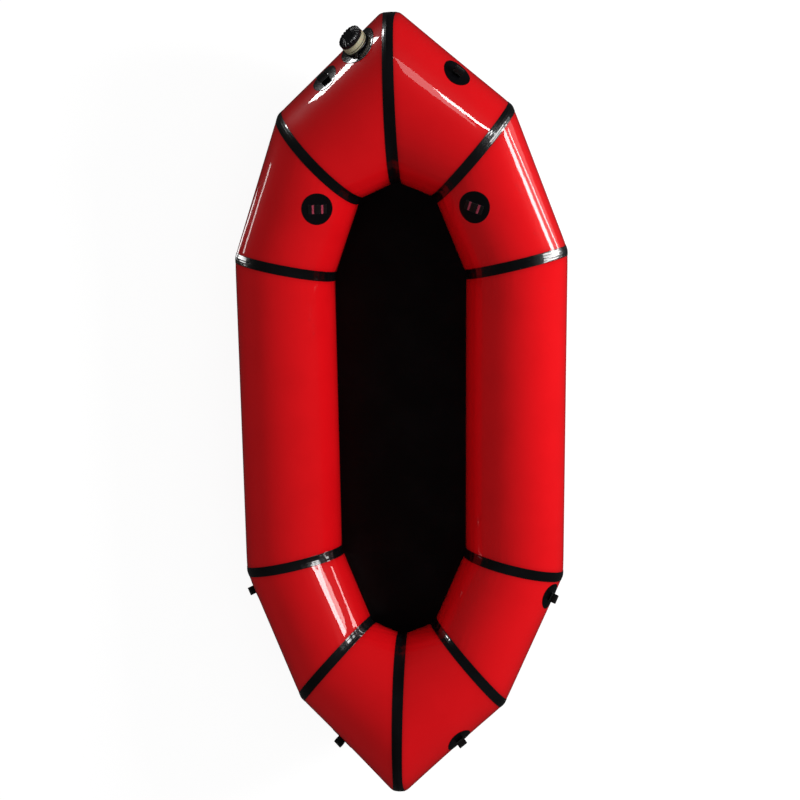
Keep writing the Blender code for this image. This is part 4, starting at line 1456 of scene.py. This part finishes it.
def side_ribs(radius, angle, height):
    reach = smooth_step(height, CAP_FOOT, CAP_FOOT + 0.0008)
    reach *= smooth_step(-height, -CAP_SHOULDER - 0.0085, -CAP_SHOULDER - 0.0025)
    outside = radius > MOUTH_RADIUS + THREAD_CLEARANCE + 0.0011
    return np.where(outside, CAP_RIB_RADIUS * rib_crown(angle) * reach, 0)


def valve_cap():
    cap = turned("black_valve_cap", cap_profile(), closed=False, steps=RIB_COUNT * RIB_CELLS)
    swell(cap, side_ribs)
    points = points_of(cap)
    off_axis = np.hypot(points[:, 0], points[:, 1])
    reach = smooth_step(off_axis, CAP_BUTTON_RADIUS, CAP_KNUCKLE_RADIUS)
    reach *= smooth_step(points[:, 2], CAP_SHOULDER, CAP_SHOULDER + 0.001)
    points[:, 2] += CAP_KNUCKLE_HEIGHT * reach * rib_crown(np.arctan2(points[:, 1], points[:, 0]))
    move_points(cap, points)
    seat(cap)
    dress(cap, black_plastic, "black_plastic", "cap", "valve_cap")
    return cap


valve_mouldings.append(valve_cap())

# Studio: white paper that keeps the raft's shadow, one soft key lamp to starboard, and a few panels
# of light that only the gloss of some pieces reflects, as the long white streaks on the noses and
# shoulders. There is no bare metal or glass here, so the air looks dark in the gloss, and the red
# has no pale veil over it.
FLOOR_PAINT = "9A9A9A"
FLOOR_GLOW = 0.86
FLOOR_SIZE = 14
FLOOR_DEPTH = 0.0005
KEY_PLACE = (2.95, 0.61, 1.5)
KEY_TARGET = (0.1, 0, 0.2)
KEY_SIZE = (1.0, 0.8)
KEY_POWER = 84
AIR_LIGHT = 0.39
AIR_GLOSS = 0.02


def white_floor():
    """Shows white to the camera. The paper itself is grey, so that it throws little light back."""
    bpy.ops.object.select_all(action="DESELECT")
    bpy.ops.mesh.primitive_plane_add(size=FLOOR_SIZE, location=(0, 0, -FLOOR_DEPTH))
    ground = bpy.context.object
    ground.name = "studio_floor"
    ground.visible_glossy = False
    finish, tree, shader = new_finish("matt studio paper")
    feed(tree, shader, {"Base Color": linear(FLOOR_PAINT), "Roughness": 0.9, "Specular IOR Level": 0.0})
    seen = add(tree, "ShaderNodeLightPath", {}, {})
    glow = add(tree, "ShaderNodeEmission", {}, {"Strength": FLOOR_GLOW})
    nothing = add(tree, "ShaderNodeEmission", {}, {"Strength": 0.0})
    camera_only = add(
        tree,
        "ShaderNodeMixShader",
        {},
        {0: (seen, "Is Camera Ray"), 1: (nothing, "Emission"), 2: (glow, "Emission")},
    )
    both = add(tree, "ShaderNodeAddShader", {}, {0: (shader, "BSDF"), 1: (camera_only, "Shader")})
    tree.links.new(both.outputs["Shader"], tree.nodes["Material Output"].inputs["Surface"])
    ground.data.materials.append(finish)


def lamp(name, corners, target, width, power, glossy):
    """A rectangular lamp whose long side runs between two points, turned to face the target."""
    start, end = (Vector(corner) for corner in corners)
    back = ((start + end) / 2 - Vector(target)).normalized()
    along = end - start
    along = (along - along.dot(back) * back).normalized()
    light = bpy.data.lights.new(name, "AREA")
    light.shape = "RECTANGLE"
    light.size, light.size_y = (end - start).length, width
    light.energy = power
    lamp_object = bpy.data.objects.new(name, light)
    bpy.context.scene.collection.objects.link(lamp_object)
    turned_to = Matrix((along, back.cross(along), back)).transposed()
    lamp_object.matrix_world = Matrix.Translation((start + end) / 2) @ turned_to.to_4x4()
    lamp_object.visible_glossy = glossy
    lamp_object.visible_diffuse = not glossy
    lamp_object.visible_camera = False
    return lamp_object


def streaks(group, pieces, target, *panels):
    """Panels of light that face the target and are seen only in the gloss of the pieces. Each has the
    two ends of its middle line, its width and its radiance."""
    reflecting = bpy.data.collections.new(f"seen in {group}")
    for piece in pieces:
        reflecting.objects.link(piece)
    for number, (start, end, width, radiance) in enumerate(panels):
        area = (Vector(end) - Vector(start)).length * width
        light = lamp(f"{group}_{number}", (start, end), target, width, radiance * pi * area, glossy=True)
        light.light_linking.receiver_collection = reflecting


white_floor()
key_ends = [tuple(np.array(KEY_PLACE) + (0, y, 0)) for y in (-KEY_SIZE[0] / 2, KEY_SIZE[0] / 2)]
lamp("key", key_ends, KEY_TARGET, KEY_SIZE[1], KEY_POWER, glossy=False)

streaks(
    "port_bow",
    (
        red_panels["bow", "left"],
        seam_tapes["bow", "right"],
        seam_tapes["shoulder", "left"],
        tie_patches["bow", "left"],
        valve_patch,
    ),
    (-0.20, 0.88, 0.35),
    ((-1.75, 2.77, 0.86), (-2.13, 2.47, 0.86), 0.50, 25),
)
streaks(
    "valve",
    (valve_patch, *valve_mouldings),
    (-0.20, 0.88, 0.35),
    ((-1.10, 1.70, 1.70), (0.20, 1.90, 2.10), 0.50, 14),
    ((0.60, 0.60, 1.40), (0.60, 1.60, 1.40), 0.30, 14),
)
streaks(
    "starboard_bow",
    (red_panels["bow", "right"], seam_tapes["shoulder", "right"]),
    (0.20, 0.84, 0.38),
    ((1.36, 1.75, 2.40), (2.05, 1.64, 2.02), 0.17, 25),
    ((1.22, 1.88, 2.41), (1.22, 1.47, 2.56), 0.50, 3),
)
streaks(
    "starboard_shoulder",
    (red_panels["shoulder", "right"], seam_tapes["shoulder", "right"], seam_tapes["front", "right"]),
    (0.38, 0.62, 0.29),
    ((2.60, 1.70, 0.86), (2.95, 0.80, 0.26), 0.40, 16),
    ((1.24, 1.20, 0.30), (1.39, 0.70, -0.05), 0.06, 13),
    ((2.55, 1.90, 0.20), (2.95, 0.50, -0.30), 1.50, 1),
)
streaks(
    "starboard_shoulder_seam",
    (seam_tapes["shoulder", "right"],),
    (0.28, 0.76, 0.35),
    ((2.60, 1.53, 0.99), (1.90, 0.87, 2.25), 0.40, 14),
)
streaks(
    "starboard_front_seam",
    (seam_tapes["front", "right"],),
    (0.44, 0.45, 0.27),
    ((2.87, 1.02, -0.30), (2.53, 0.50, 1.60), 0.45, 15),
)
streaks(
    "port_shoulder",
    (red_panels["shoulder", "left"], seam_tapes["front", "left"]),
    (-0.40, 0.60, 0.28),
    ((-1.27, 1.03, 0.09), (-1.39, 0.66, 0.00), 0.10, 4.5),
    ((-1.12, 0.92, -0.34), (-1.07, 0.62, -0.52), 0.12, 3),
)
streaks(
    "port_front_seam",
    (seam_tapes["front", "left"],),
    (-0.45, 0.46, 0.25),
    ((-1.28, 0.72, -0.32), (-1.42, 0.61, 0.32), 0.12, 8),
)
streaks(
    "port_quarter",
    (red_panels["quarter", "left"], seam_tapes["rear", "left"], seam_tapes["quarter", "left"]),
    (-0.20, -0.56, 0.29),
    ((1.42, 0.80, 1.66), (1.85, 0.19, 1.66), 0.45, 18),
    ((1.58, 0.88, 1.20), (2.01, 0.27, 1.20), 0.45, 8),
    ((-0.028, -0.383, 0.216), (0.060, -0.581, 0.274), 0.02, 9),
)
streaks(
    "starboard_quarter_seam",
    (seam_tapes["quarter", "right"],),
    (0.134, -0.668, 0.303),
    ((-0.057, -0.615, 0.315), (-0.057, -0.615, 0.340), 0.035, 25),
)

# The air: white to the camera, a plain grey light on the raft, and nearly dark in its gloss
world = bpy.data.worlds.new("studio air")
bpy.context.scene.world = world
world.use_nodes = True
air = world.node_tree
air.nodes["Background"].inputs["Strength"].default_value = 1.0
ray = add(air, "ShaderNodeLightPath", {}, {})
grey = add(
    air,
    "ShaderNodeMix",
    {"data_type": "RGBA"},
    {"Factor": (ray, "Is Glossy Ray"), 6: (AIR_LIGHT,) * 3 + (1,), 7: (AIR_GLOSS,) * 3 + (1,)},
)
white_behind = add(
    air,
    "ShaderNodeMix",
    {"data_type": "RGBA"},
    {"Factor": (ray, "Is Camera Ray"), 6: (grey, 2), 7: (1, 1, 1, 1)},
)
air.links.new(white_behind.outputs[2], air.nodes["Background"].inputs["Color"])

# Camera: above the raft and a little forward of its middle, looking nearly straight down. Its turn
# is an axis times an angle in radians, from a camera that looks straight down with the bow up.
CAMERA_PLACE = (0.2034, 0.275022, 2.494479)
CAMERA_TURN = Vector((-0.10194, 0.08727, -0.00833))
LENS_MM = 34.753
SENSOR_MM = 36

camera_data = bpy.data.cameras.new("camera")
camera_data.lens = LENS_MM
camera_data.sensor_width = SENSOR_MM
camera = bpy.data.objects.new("camera", camera_data)
bpy.context.scene.collection.objects.link(camera)
bpy.context.scene.camera = camera
camera.location = CAMERA_PLACE
camera.rotation_euler = Quaternion(CAMERA_TURN.normalized(), CAMERA_TURN.length).to_euler()

bpy.context.scene.view_settings.view_transform = "Standard"
